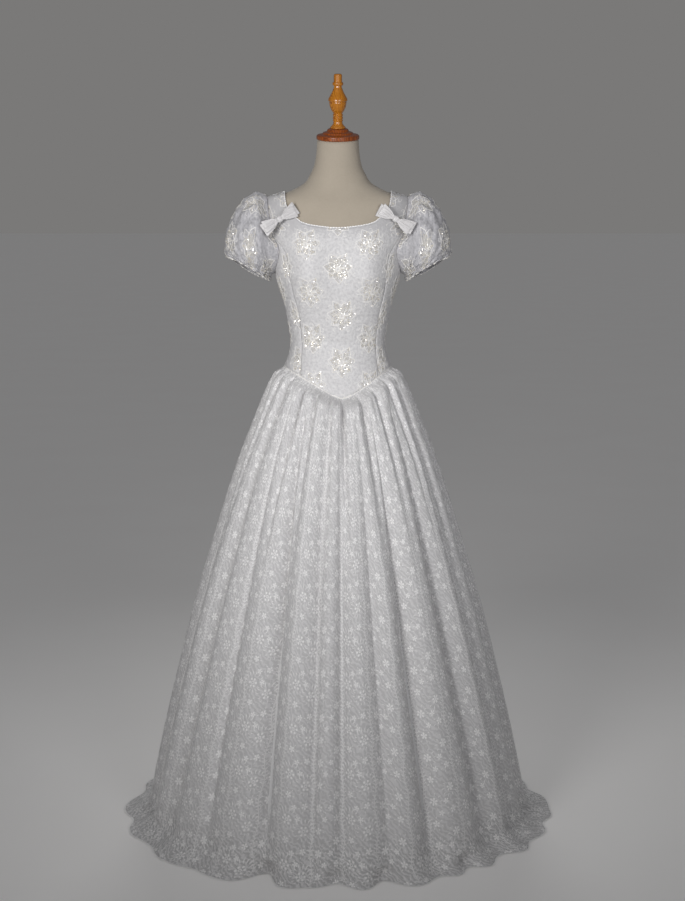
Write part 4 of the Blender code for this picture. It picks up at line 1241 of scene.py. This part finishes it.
def add(tree, kind, sockets=None, **settings):
    """Adds a node; sockets maps an input's name or number to a value or another output."""
    made = tree.nodes.new(kind)
    for key, value in settings.items():
        setattr(made, key, value)
    for key, value in (sockets or {}).items():
        if isinstance(value, bpy.types.NodeSocket):
            tree.links.new(value, made.inputs[key])
        else:
            made.inputs[key].default_value = value
    return made


def finish_of(name, **sockets):
    """A finish, its node tree and its shader, with the shader's own numbers set."""
    material = bpy.data.materials.new(name)
    material.use_nodes = True
    tree = material.node_tree
    shader = tree.nodes["Principled BSDF"]
    for key, value in sockets.items():
        shader.inputs[key.replace("_", " ")].default_value = value
    return material, tree, shader


def cloth_place(tree):
    """Cloth coordinates in metres as a vector, and its two parts."""
    place = add(tree, "ShaderNodeUVMap", uv_map="cloth").outputs["UV"]
    parts = add(tree, "ShaderNodeSeparateXYZ", {0: place})
    return place, parts.outputs[0], parts.outputs[1]


def threads(tree, value, pitch, width):
    """1 on a thread of the given width that repeats every pitch along a value, else 0."""
    wave = add(tree, "ShaderNodeMath", {0: value, 1: pitch / 2}, operation="PINGPONG").outputs[0]
    edge = add(tree, "ShaderNodeMapRange", {"Value": wave, "From Min": width * 0.35,
                                            "From Max": width * 0.65, "To Min": 1.0,
                                            "To Max": 0.0})
    return edge.outputs[0]


def net_mask(tree, u, v, pitch, width):
    """Diamond net of two sets of slanting threads."""
    plus = add(tree, "ShaderNodeMath", {0: u, 1: v}, operation="ADD").outputs[0]
    less = add(tree, "ShaderNodeMath", {0: u, 1: v}, operation="SUBTRACT").outputs[0]
    one, two = threads(tree, plus, pitch, width), threads(tree, less, pitch, width)
    return add(tree, "ShaderNodeMath", {0: one, 1: two}, operation="MAXIMUM").outputs[0]


def surface(tree, shader, factor, low, high, relief=None):
    """Colour that runs between two hex colours by a factor, and a relief given by its height,
    its depth in metres and its strength."""
    mix = add(tree, "ShaderNodeMix", {0: factor, 6: colour(low), 7: colour(high)},
              data_type="RGBA")
    tree.links.new(mix.outputs[2], shader.inputs["Base Color"])
    if relief:
        bump = add(tree, "ShaderNodeBump", {"Height": relief[0], "Distance": relief[1],
                                            "Strength": relief[2]})
        tree.links.new(bump.outputs[0], shader.inputs["Normal"])


# The net is clearer below the lining's hem: run up the cloth from its hem in metres
NET_CLEAR_UP_TO = 0.06
NET_CLOSE_FROM = 0.12


def make_net():
    """Nylon lace ground: a fine diamond net that lets the satin behind it through. The real
    holes are 1.5 mm, drawn at 3.4 mm so that they show."""
    material, tree, shader = finish_of("nylon_lace_net", Roughness=0.62, IOR=1.53,
                                       Sheen_Weight=0.15, Sheen_Roughness=0.5)
    place, u, v = cloth_place(tree)
    net = net_mask(tree, u, v, 0.0034, 0.0013)
    curls = add(tree, "ShaderNodeTexWave", {"Vector": place, "Scale": 42.0, "Distortion": 9.0,
                                            "Detail": 2.0, "Detail Scale": 1.4},
                bands_direction="DIAGONAL").outputs["Fac"]
    most = add(tree, "ShaderNodeMath", {0: net, 1: curls}, operation="MAXIMUM").outputs[0]
    falls = add(tree, "ShaderNodeMapRange", {"Value": v, "From Min": NET_CLEAR_UP_TO,
                                             "From Max": NET_CLOSE_FROM, "To Min": 0.30,
                                             "To Max": 0.80}).outputs[0]
    alpha = add(tree, "ShaderNodeMapRange", {"Value": most, "To Min": falls, "To Max": 0.97})
    tree.links.new(alpha.outputs[0], shader.inputs["Alpha"])
    surface(tree, shader, curls, "D2D1D1", "DEDDDD", (net, 0.0003, 0.7))
    return material


def make_lace_thread():
    """Rayon figures of the lace: matt white satin stitch, its threads 0.6 mm drawn at 1.4 mm."""
    material, tree, shader = finish_of("rayon_lace_figures", Roughness=0.50, IOR=1.53,
                                       Sheen_Weight=0.25, Sheen_Roughness=0.4)
    place = add(tree, "ShaderNodeTexCoord").outputs["Object"]
    cloud = add(tree, "ShaderNodeTexNoise", {"Vector": place, "Scale": 60.0,
                                             "Detail": 3.0}).outputs["Fac"]
    wave = add(tree, "ShaderNodeTexWave", {"Vector": place, "Scale": 110.0, "Distortion": 6.0,
                                           "Detail": 2.0}, bands_direction="DIAGONAL")
    surface(tree, shader, cloud, "EFEEED", "F8F7F6", (wave.outputs["Fac"], 0.0003, 0.6))
    return material


# Height in metres between which the bodice's satin ends and the bare lace straps begin
SATIN_TOP = 1.415
STRAP_FROM = 1.455


def make_bodice_cloth(name, low, high):
    """Satin under close lace net: a soft gleam, with the net's knots as a faint grain, and
    greyer on the straps. The real net is 1 mm, drawn at 2.8 mm."""
    material, tree, shader = finish_of(name, Roughness=0.50, IOR=1.53, Sheen_Weight=0.25,
                                       Sheen_Roughness=0.35)
    place, u, v = cloth_place(tree)
    net = net_mask(tree, u, v, 0.0028, 0.0010)
    grain = add(tree, "ShaderNodeTexNoise", {"Vector": place, "Scale": 150.0,
                                             "Detail": 3.0, "Roughness": 0.7}).outputs["Fac"]
    patchy = add(tree, "ShaderNodeMapRange", {"Value": grain, "From Min": 0.34, "From Max": 0.64})
    cover = add(tree, "ShaderNodeMath", {0: net, 1: 0.25, 2: patchy.outputs[0]},
                operation="MULTIPLY_ADD")
    bare = add(tree, "ShaderNodeMapRange", {"Value": v, "From Min": SATIN_TOP,
                                            "From Max": STRAP_FROM, "To Max": 0.9}).outputs[0]
    shown = add(tree, "ShaderNodeMath", {0: cover.outputs[0], 1: bare}, operation="SUBTRACT")
    surface(tree, shader, shown.outputs[0], low, high, (cover.outputs[0], 0.0006, 0.8))
    return material


def make_petal_fill():
    """Sheer filling of the corded petals: a warm grey veil over the satin."""
    material, tree, shader = finish_of("sheer_petal_filling", Roughness=0.55, IOR=1.53,
                                       Alpha=0.45, Sheen_Weight=0.2)
    place = add(tree, "ShaderNodeTexCoord").outputs["Object"]
    cloud = add(tree, "ShaderNodeTexNoise", {"Vector": place, "Scale": 300.0,
                                             "Detail": 2.0}).outputs["Fac"]
    surface(tree, shader, cloud, "CFCCC6", "DAD8D4")
    return material


def make_cord_thread():
    """Corded rayon outline of the bodice figures: twisted cord, a shade creamier."""
    material, tree, shader = finish_of("rayon_cord", Roughness=0.42, IOR=1.53,
                                       Sheen_Weight=0.2, Sheen_Roughness=0.4)
    place = add(tree, "ShaderNodeTexCoord").outputs["Object"]
    cloud = add(tree, "ShaderNodeTexNoise", {"Vector": place, "Scale": 45.0,
                                             "Detail": 2.0}).outputs["Fac"]
    wave = add(tree, "ShaderNodeTexWave", {"Vector": place, "Scale": 160.0, "Distortion": 3.0},
               bands_direction="DIAGONAL")
    surface(tree, shader, cloud, "E4E2DE", "EFEDE9", (wave.outputs["Fac"], 0.0003, 0.7))
    return material


def make_sequin():
    """Clear PVC sequins with a faint gold tinge: hard, glossy and thin."""
    material, tree, shader = finish_of("clear_sequin", Roughness=0.12, IOR=1.54,
                                       Metallic=0.35, Coat_Weight=1.0,
                                       Coat_Roughness=0.05)
    place = add(tree, "ShaderNodeTexCoord").outputs["Object"]
    cloud = add(tree, "ShaderNodeTexNoise", {"Vector": place, "Scale": 90.0,
                                             "Detail": 1.0}).outputs["Fac"]
    surface(tree, shader, cloud, "EDE3CB", "FFFDFA")
    return material


def make_bead():
    """Pearlised glass seed beads."""
    material, tree, shader = finish_of("pearl_seed_bead", Roughness=0.18, IOR=1.52,
                                       Coat_Weight=0.6, Coat_Roughness=0.08)
    place = add(tree, "ShaderNodeTexCoord").outputs["Object"]
    cloud = add(tree, "ShaderNodeTexNoise", {"Vector": place, "Scale": 120.0,
                                             "Detail": 1.0}).outputs["Fac"]
    surface(tree, shader, cloud, "E7DFCC", "F7F2EA")
    return material


def make_satin(name, low, high, rough, sheen):
    """Polyester satin: fine warp threads, drawn at 1.2 mm, and soft drag lines along them."""
    material, tree, shader = finish_of(name, Roughness=rough, IOR=1.53, Sheen_Weight=sheen,
                                       Sheen_Roughness=0.3)
    place, u, _ = cloth_place(tree)
    long = add(tree, "ShaderNodeMapping", {"Vector": place, "Scale": (1.0, 0.12, 1.0)})
    drag = add(tree, "ShaderNodeTexNoise", {"Vector": long.outputs[0], "Scale": 90.0,
                                            "Detail": 3.0}).outputs["Fac"]
    warp = threads(tree, u, 0.0012, 0.0007)
    both = add(tree, "ShaderNodeMath", {0: warp, 1: 0.25, 2: drag}, operation="MULTIPLY_ADD")
    surface(tree, shader, drag, low, high, (both.outputs[0], 0.0006, 0.5))
    return material


def make_linen():
    """Plain linen cover of the form: warm grey-beige, threads every 1.4 mm, small slubs."""
    material, tree, shader = finish_of("stretched_linen", Roughness=0.82, IOR=1.5,
                                       Sheen_Weight=0.12, Sheen_Roughness=0.6)
    place = add(tree, "ShaderNodeTexCoord").outputs["Object"]
    parts = add(tree, "ShaderNodeSeparateXYZ", {0: place})
    warp = threads(tree, parts.outputs[0], 0.0014, 0.0010)
    weft = threads(tree, parts.outputs[2], 0.0014, 0.0010)
    weave = add(tree, "ShaderNodeMath", {0: warp, 1: weft}, operation="ADD").outputs[0]
    slub = add(tree, "ShaderNodeTexNoise", {"Vector": place, "Scale": 260.0,
                                            "Detail": 3.0}).outputs["Fac"]
    cloud = add(tree, "ShaderNodeTexNoise", {"Vector": place, "Scale": 14.0,
                                             "Detail": 3.0}).outputs["Fac"]
    mixed = add(tree, "ShaderNodeMath", {0: slub, 1: 0.5, 2: cloud}, operation="MULTIPLY_ADD")
    half = add(tree, "ShaderNodeMath", {0: mixed.outputs[0], 1: 0.66}, operation="MULTIPLY")
    surface(tree, shader, half.outputs[0], "9C9283", "B4AA9A", (weave, 0.0002, 0.35))
    return material


def make_wood(name, dark, light, ring, rough):
    """Turned and varnished wood: growth rings a few millimetres apart and fine pores, under a
    clear coat."""
    material, tree, shader = finish_of(name, Roughness=rough, IOR=1.5, Coat_Weight=0.4,
                                       Coat_Roughness=0.15)
    place = add(tree, "ShaderNodeTexCoord").outputs["Object"]
    shift = add(tree, "ShaderNodeMapping", {"Vector": place, "Location": (0.02, 0.03, 0.0),
                                            "Scale": (1.0, 1.0, 0.16)})
    grain = add(tree, "ShaderNodeTexWave", {"Vector": shift.outputs[0], "Scale": 1 / ring / 3.2,
                                            "Distortion": 5.0, "Detail": 3.0,
                                            "Detail Scale": 1.6}, wave_type="RINGS",
                rings_direction="Z")
    pores = add(tree, "ShaderNodeTexNoise", {"Vector": shift.outputs[0], "Scale": 420.0,
                                             "Detail": 2.0}).outputs["Fac"]
    both = add(tree, "ShaderNodeMath", {0: pores, 1: 0.35, 2: grain.outputs["Fac"]},
               operation="MULTIPLY_ADD")
    surface(tree, shader, both.outputs[0], dark, light, (pores, 0.0002, 0.15))
    return material


def make_steel():
    """Powder-coated steel of the pole: dark, faintly pebbled."""
    material, tree, shader = finish_of("powder_coated_steel", Roughness=0.45)
    place = add(tree, "ShaderNodeTexCoord").outputs["Object"]
    grit = add(tree, "ShaderNodeTexNoise", {"Vector": place, "Scale": 900.0,
                                            "Detail": 2.0}).outputs["Fac"]
    surface(tree, shader, grit, "1E1E20", "2C2C2F", (grit, 0.0002, 0.3))
    return material


def make_floor():
    """Pale matt studio floor, very faintly clouded."""
    material, tree, shader = finish_of("pale_studio_floor", Roughness=0.9,
                                       Emission_Color=colour("FFFFFF"),
                                       Emission_Strength=0.05)
    place = add(tree, "ShaderNodeTexCoord").outputs["Object"]
    cloud = add(tree, "ShaderNodeTexNoise", {"Vector": place, "Scale": 2.0,
                                             "Detail": 3.0}).outputs["Fac"]
    surface(tree, shader, cloud, "ECEAE8", "F0EFED")
    return material


net = make_net()
lace_thread = make_lace_thread()
bodice_cloth = make_bodice_cloth("satin_under_lace", "BAB9BA", "D7D6D6")
# The sleeves wear the bodice's cloth in darker greys: painted shade for the light that falls off
# towards the sides
sleeve_cloth_painted_shade = make_bodice_cloth("sleeve_lace_painted_shade", "959598", "BEBDC0")
cord_thread = make_cord_thread()
petal_fill = make_petal_fill()
sequin = make_sequin()
bead = make_bead()
lining_satin = make_satin("lining_satin", "D6D6D6", "E2E2E2", 0.46, 0.2)
ribbon_satin = make_satin("ribbon_satin", "BAB8B8", "D6D4D4", 0.30, 0.3)
zip_cloth = make_satin("zip_tape_weave", "DEDEDF", "ECECEC", 0.6, 0.1)
linen = make_linen()
red_wood = make_wood("varnished_red_wood", "5C2404", "9A4C10", 0.004, 0.34)
honey_wood = make_wood("varnished_honey_wood", "824002", "C47F1E", 0.003, 0.32)
steel = make_steel()


# Laying lace on cloth by its cloth coordinates
def lace_tree():
    """Copies a flat figure to each point, then bends it on to the cloth where the cloth
    coordinates say; what falls off the cloth's edge is cut away."""
    tree = bpy.data.node_groups.new("lay_lace", "GeometryNodeTree")
    face = tree.interface
    face.new_socket("Repeats", in_out="INPUT", socket_type="NodeSocketGeometry")
    face.new_socket("Figure", in_out="INPUT", socket_type="NodeSocketObject")
    face.new_socket("Cloth", in_out="INPUT", socket_type="NodeSocketObject")
    face.new_socket("Lift", in_out="INPUT", socket_type="NodeSocketFloat")
    face.new_socket("Finish", in_out="INPUT", socket_type="NodeSocketMaterial")
    face.new_socket("Lace", in_out="OUTPUT", socket_type="NodeSocketGeometry")
    source = add(tree, "NodeGroupInput").outputs
    figure = add(tree, "GeometryNodeObjectInfo", {"Object": source["Figure"]})
    base = add(tree, "GeometryNodeObjectInfo", {"Object": source["Cloth"]})
    mirrored = add(tree, "GeometryNodeInputNamedAttribute", {"Name": "flip"},
                   data_type="FLOAT_VECTOR")
    copies = add(tree, "GeometryNodeInstanceOnPoints",
                 {"Points": source["Repeats"], "Instance": figure.outputs["Geometry"],
                  "Scale": mirrored.outputs["Attribute"]})
    flat = add(tree, "GeometryNodeRealizeInstances", {0: copies.outputs[0]}).outputs[0]
    here = add(tree, "GeometryNodeInputPosition").outputs[0]
    parts = add(tree, "ShaderNodeSeparateXYZ", {0: here})
    level = add(tree, "ShaderNodeCombineXYZ", {0: parts.outputs[0], 1: parts.outputs[1]})
    run = add(tree, "GeometryNodeInputNamedAttribute", {"Name": "cloth"},
              data_type="FLOAT_VECTOR").outputs["Attribute"]
    on = add(tree, "GeometryNodeSampleUVSurface",
             {"Mesh": base.outputs["Geometry"], "Value": here, "Source UV Map": run,
              "Sample UV": level.outputs[0]}, data_type="FLOAT_VECTOR")
    normal = add(tree, "GeometryNodeInputNormal").outputs[0]
    out = add(tree, "GeometryNodeSampleUVSurface",
              {"Mesh": base.outputs["Geometry"], "Value": normal, "Source UV Map": run,
               "Sample UV": level.outputs[0]}, data_type="FLOAT_VECTOR")
    off = add(tree, "FunctionNodeBooleanMath", {0: on.outputs["Is Valid"]}, operation="NOT")
    kept = add(tree, "GeometryNodeDeleteGeometry", {0: flat, 1: off.outputs[0]}, domain="POINT")
    high = add(tree, "ShaderNodeMath", {0: parts.outputs[2], 1: source["Lift"]}, operation="ADD")
    stand = add(tree, "ShaderNodeVectorMath", {0: out.outputs["Value"], "Scale": high.outputs[0]},
                operation="SCALE")
    place = add(tree, "ShaderNodeVectorMath", {0: on.outputs["Value"], 1: stand.outputs[0]},
                operation="ADD")
    side = add(tree, "GeometryNodeStoreNamedAttribute",
               {0: kept.outputs[0], "Name": "outward", "Value": out.outputs["Value"]},
               data_type="FLOAT_VECTOR", domain="POINT")
    laid = add(tree, "GeometryNodeSetPosition", {0: side.outputs[0], "Position": place.outputs[0]})
    smooth = add(tree, "GeometryNodeSetShadeSmooth", {0: laid.outputs[0]})
    done = add(tree, "GeometryNodeSetMaterial", {0: smooth.outputs[0],
                                                 "Material": source["Finish"]})
    add(tree, "NodeGroupOutput", {0: done.outputs[0]})
    return tree


lay_lace = lace_tree()


def plain_mesh(obj):
    """The evaluated object as a mesh of its own, and the modifier's owner removed."""
    ready = obj.evaluated_get(bpy.context.evaluated_depsgraph_get())
    mesh = bpy.data.meshes.new_from_object(ready)
    bpy.data.objects.remove(obj)
    return mesh


def laid_on(cloth_piece, figure, repeat, drop, origin, lift, finish, mirror_rows=True):
    """Mesh of one lace figure repeated over a cloth piece, with alternate columns dropped."""
    layer = np.zeros(len(cloth_piece.data.loops) * 2, np.float32)
    cloth_piece.data.uv_layers["cloth"].uv.foreach_get("vector", layer)
    low, high = layer.reshape(-1, 2).min(axis=0), layer.reshape(-1, 2).max(axis=0)
    wide, tall = repeat[0] * 0.001, repeat[1] * 0.001
    points, flips = [], []
    for i in range(math.floor((low[0] - origin[0]) / wide) - 1,
                   math.ceil((high[0] - origin[0]) / wide) + 1):
        for j in range(math.floor((low[1] - origin[1]) / tall) - 1,
                       math.ceil((high[1] - origin[1]) / tall) + 1):
            turned_over = -1.0 if mirror_rows and i % 2 else 1.0
            x = origin[0] + i * wide + (wide if turned_over < 0 else 0.0)
            points.append((x, origin[1] + j * tall + (tall * drop if i % 2 else 0.0), 0.0))
            flips.append((turned_over, 1.0, 1.0))
    carrier = mesh_object("repeats", points, [])
    flip = carrier.data.attributes.new("flip", "FLOAT_VECTOR", "POINT")
    flip.data.foreach_set("vector", np.array(flips, np.float32).ravel())
    modifier = carrier.modifiers.new("lay", "NODES")
    modifier.node_group = lay_lace
    sockets = {item.name: item.identifier for item in lay_lace.interface.items_tree
               if item.in_out == "INPUT"}
    modifier[sockets["Figure"]] = figure
    modifier[sockets["Cloth"]] = cloth_piece
    modifier[sockets["Lift"]] = lift
    modifier[sockets["Finish"]] = finish
    return facing_out(plain_mesh(carrier))


def facing_out(mesh):
    """Turns each face to the side that its stored outward direction says."""
    shape = bmesh.new()
    shape.from_mesh(mesh)
    layer = shape.verts.layers.float_vector["outward"]
    for face in shape.faces:
        if face.normal.dot(face.verts[0][layer]) < 0:
            face.normal_flip()
    shape.verts.layers.float_vector.remove(layer)
    shape.to_mesh(mesh)
    shape.free()
    return mesh


def joined(name, meshes, finish):
    """One object from several meshes of one finish."""
    points, faces, start = [], [], 0
    for mesh in meshes:
        where = np.zeros(len(mesh.vertices) * 3, np.float32)
        mesh.vertices.foreach_get("co", where)
        points += where.reshape(-1, 3).tolist()
        faces += [tuple(start + i for i in polygon.vertices) for polygon in mesh.polygons]
        start = len(points)
    obj = mesh_object(name, points, faces)
    obj.data.materials.append(finish)
    return obj


def laid_along(lace, edge, inner, normal, lift):
    """Mesh of a flat figure along a line of cloth: x runs along it and y out over its edge."""
    reach = run_along(edge)
    beyond = edge - inner
    beyond /= np.linalg.norm(beyond, axis=-1, keepdims=True)
    flat = np.array(lace["points"], float) * 0.001
    on, out, up = (np.stack([np.interp(flat[:, 0], reach, line[:, k]) for k in range(3)], axis=-1)
                   for line in (edge, beyond, normal))
    obj = mesh_object("strip", on + out * flat[:, 1:2] + up * (flat[:, 2:3] + lift),
                      lace["faces"])
    mesh = obj.data
    sheet = bmesh.new()
    sheet.from_mesh(mesh)
    lean = sum(face.normal.dot(Vector(up[face.verts[0].index])) * face.calc_area()
               for face in sheet.faces)
    if lean < 0:
        bmesh.ops.reverse_faces(sheet, faces=sheet.faces)
    sheet.to_mesh(mesh)
    sheet.free()
    bpy.data.objects.remove(obj)
    return mesh


# Scallops in millimetres: how far apart, how far out, how far in on the cloth, width of cord
NECK_SCALLOPS = (6.5, 1.3, 1.6, 1.1)
WAIST_SCALLOPS = (9.5, 1.6, 2.2, 1.2)
SLEEVE_SCALLOPS = (9.5, 2.6, 2.4, 1.4)
SKIRT_SCALLOPS = (27.0, 3.6, 3.0, 1.8)
# Beads at the sleeve's scallops: how far apart, how far out, radius
SLEEVE_BEADS = (9.5, 2.4, 1.3)


def scallops(length, pitch, reach, tuck, cord):
    """Row of shallow scallops: a corded edge round a low filled tongue."""
    lace = new_lace()
    length = length * 1000
    count = max(round(length / pitch), 1)
    pitch = length / count
    turn = np.linspace(0, np.pi, 8)
    for i in range(count):
        x = pitch * (i + 0.5 - 0.5 * np.cos(turn))
        y = -tuck + (reach + tuck) * np.sin(turn)
        raised_cord(lace, np.stack([x, y], axis=1), cord, 0.35)
        raised_patch(lace, list(zip(x, y)) + [(x[0], -tuck), (x[-1], -tuck)][::-1], 0.15)
    return lace


def tip_beads(length, pitch, reach, radius):
    """A round bead at each scallop's tip."""
    lace = new_lace()
    length = length * 1000
    count = max(round(length / pitch), 1)
    for i in range(count):
        round_bead(lace, length * (i + 0.5) / count, reach, radius, 0.4)
    return lace


def away_from(edge, middle):
    out = edge - middle
    return out / np.linalg.norm(out, axis=-1, keepdims=True)


rng = np.random.default_rng(21)
skirt_figure = figure_object("skirt_figure", skirt_lace_figure())
cord_figure = figure_object("cord_figure", corded_figure())
petals_flat = figure_object("petal_figure", petal_figure())
sequins_flat = figure_object("sequin_figure", sequin_figure(rng))
beads_flat = figure_object("bead_figure", bead_figure(rng))
lace_pieces = {}
for word in ("front", "back"):
    mesh = laid_on(skirt[f"skirt_lace_{word}"], skirt_figure, LACE_REPEAT, 0.25, (0.02, 0.004),
                   LACE_CLOTH / 2, lace_thread)
    lace_pieces[f"lace_flowers_{word}"] = (joined(f"lace_flowers_{word}", [mesh], lace_thread),
                                           "skirt_lace")
BODICE_ORIGIN = (0.0, 1.348)
SLEEVE_ORIGIN = (0.020, 0.060)
beaded = [(piece, BODICE_ORIGIN, BODICE_CLOTH) for piece in bodice.values()]
beaded += [(piece, SLEEVE_ORIGIN, SLEEVE_CLOTH) for piece in sleeves.values()]
for figure, name, finish in ((cord_figure, "corded_flowers", cord_thread),
                             (petals_flat, "petal_fillings", petal_fill),
                             (sequins_flat, "clear_sequins", sequin),
                             (beads_flat, "seed_beads", bead)):
    meshes = [laid_on(piece, figure, FIGURE_REPEAT, 0.5, origin, thick / 2, finish, False)
              for piece, origin, thick in beaded]
    lace_pieces[name] = (joined(name, meshes, finish), "bodice_lace")
for flat in (skirt_figure, cord_figure, petals_flat, sequins_flat, beads_flat):
    bpy.data.objects.remove(flat)

# Scalloped edges
edges = []
for (side, mirror), ((body, _), (strap, _)) in halves.items():
    first = PANEL_COLUMNS - strap.shape[1] + 1
    edge = np.concatenate([body[-1, :first + 1], strap[1:, 0]])
    inner = np.concatenate([body[-2, :first + 1], strap[1:, 1]])
    edges.append((edge, inner, form_normal(edge)))
neck_meshes = [laid_along(scallops(run_along(edge)[-1], *NECK_SCALLOPS), edge, inner, normal,
                          BODICE_CLOTH / 2) for edge, inner, normal in edges]
lace_pieces["neckline_scallops"] = (joined("neckline_scallops", neck_meshes, lace_thread),
                                    "bodice_lace")
around = np.linspace(0, 360, 361)
waist_edge = skin(around, waist_height(around) + WAIST_GAP, BODICE_OUT)
waist_inner = skin(around, waist_height(around) + 0.004, BODICE_OUT)
waist = laid_along(scallops(run_along(waist_edge)[-1], *WAIST_SCALLOPS), waist_edge, waist_inner,
                   form_normal(waist_edge), BODICE_CLOTH / 2)
lace_pieces["waist_scallops"] = (joined("waist_scallops", [waist], cord_thread), "bodice_lace")
sleeve_meshes, hem_beads = [], []
for hem, before, middle in sleeve_hems.values():
    normal = away_from(hem, middle)
    length = run_along(hem)[-1]
    sleeve_meshes.append(laid_along(scallops(length, *SLEEVE_SCALLOPS), hem, before, normal,
                                    SLEEVE_CLOTH / 2))
    hem_beads.append(laid_along(tip_beads(length, *SLEEVE_BEADS), hem, before, normal,
                                SLEEVE_CLOTH / 2))
lace_pieces["sleeve_scallops"] = (joined("sleeve_scallops", sleeve_meshes, cord_thread),
                                  "sleeve_lace")
lace_pieces["hem_beads"] = (joined("hem_beads", hem_beads, bead), "sleeve_lace")
hem_edge = skirt_point(around, np.full(361, LACE_HEM), LACE_CLEAR, 0.0, 1.0, GATHER_DEPTH, 1.0)
hem_inner = hem_edge - away_from(hem_edge, np.array([0, SKIRT_FORWARD, LACE_HEM])) * 0.004
hem_up = np.broadcast_to([0.0, 0.0, 1.0], hem_edge.shape)
hem = laid_along(scallops(run_along(hem_edge)[-1], *SKIRT_SCALLOPS), hem_edge, hem_inner, hem_up,
                 LACE_CLOTH / 2)
lace_pieces["skirt_scallops"] = (joined("skirt_scallops", [hem], lace_thread), "skirt_lace")

for piece in bodice.values():
    give_wall(piece, BODICE_CLOTH)
for word in ("left", "right"):
    give_wall(sleeves[word], SLEEVE_CLOTH)
    give_wall(bows[word], RIBBON_CLOTH)
    give_wall(knots[word], RIBBON_CLOTH)
for word in ("front", "back"):
    give_wall(skirt[f"skirt_lace_{word}"], LACE_CLOTH)
    give_wall(skirt[f"skirt_lining_{word}"], LINING_CLOTH)
give_wall(zip_tape, BODICE_CLOTH)


def settle_piece(obj, node, finish):
    obj.data.materials.append(finish)
    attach(obj, BODY)
    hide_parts(node)


for node, obj in bodice.items():
    settle_piece(obj, node, bodice_cloth)
for word in ("left", "right"):
    settle_piece(sleeves[word], f"sleeve_{word}", sleeve_cloth_painted_shade)
    settle_piece(bows[word], f"bow_{word}", ribbon_satin)
    settle_piece(knots[word], f"bow_knot_{word}", ribbon_satin)
for word in ("front", "back"):
    settle_piece(skirt[f"skirt_lace_{word}"], f"skirt_lace_{word}", net)
    settle_piece(skirt[f"skirt_lining_{word}"], f"skirt_lining_{word}",
                 lining_satin)
settle_piece(linen_form, "form_torso", linen)
settle_piece(wood_cap, "neck_cap", red_wood)
settle_piece(wood_finial, "finial", honey_wood)
settle_piece(wood_foot, "stand_base", red_wood)
settle_piece(zip_tape, "back_zip", zip_cloth)
for obj, slot in lace_pieces.values():
    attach(obj, BODY)
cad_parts["stand_pole"].material_slots[0].material = steel

# Floor, light and camera
floor = mesh_object("studio_floor", [(-60, -60, 0), (60, -60, 0), (60, 60, 0), (-60, 60, 0)],
                    [(0, 1, 2, 3)])
floor.data.materials.append(make_floor())


LIGHT_SPREAD = math.radians(64)
BODICE_AIM = (0, 0, 1.34)
BACK_AIM = (0, 0, 1.25)


def soft_box(name, place, aim, size, watts, tint):
    """Square soft light turned to a point."""
    light = bpy.data.lights.new(name, "AREA")
    light.shape = "SQUARE"
    light.size = size
    light.energy = watts
    light.color = colour(tint)[:3]
    light.spread = LIGHT_SPREAD
    obj = bpy.data.objects.new(name, light)
    obj.location = place
    obj.rotation_euler = (Vector(aim) - Vector(place)).to_track_quat("-Z", "Y").to_euler()
    bpy.context.scene.collection.objects.link(obj)
    return obj


soft_box("key_left", (-1.15, -2.75, 1.75), BODICE_AIM, 0.9, 7.6, "FFFEFE")
soft_box("key_right", (1.0, -2.85, 1.70), BODICE_AIM, 0.9, 3.6, "FCFCFF")
back_fill = soft_box("back_fill", (0, 3.6, 1.75), BACK_AIM, 1.6, 9.0, "FFFFFF")
# It only lights the back: no white rim in the varnish from the front
back_fill.visible_glossy = False
sky = bpy.data.lights.new("soft_top", "SUN")
sky.angle = math.radians(60)
sky.energy = 0.22
sky_place = bpy.data.objects.new("soft_top", sky)
bpy.context.scene.collection.objects.link(sky_place)

camera_data = bpy.data.cameras.new("photo_camera")
camera_data.lens = 70.0
camera_data.sensor_width = 36.0
camera = bpy.data.objects.new("photo_camera", camera_data)
camera.location = (0.011, -4.25, 1.53)
camera.rotation_euler = (math.radians(81.575), 0, 0)
bpy.context.scene.collection.objects.link(camera)
bpy.context.scene.camera = camera
world = bpy.data.worlds.new("studio")
bpy.context.scene.world = world
world.use_nodes = True
studio = world.node_tree
studio.nodes.clear()
fill = add(studio, "ShaderNodeBackground", {"Color": colour("C2C2C5"), "Strength": 0.20})
wall = add(studio, "ShaderNodeBackground", {"Color": colour("7A7978"), "Strength": 1.0})
seen = add(studio, "ShaderNodeLightPath").outputs["Is Camera Ray"]
both = add(studio, "ShaderNodeMixShader", {0: seen, 1: fill.outputs[0], 2: wall.outputs[0]})
add(studio, "ShaderNodeOutputWorld", {0: both.outputs[0]})
bpy.context.scene.view_settings.view_transform = "Standard"
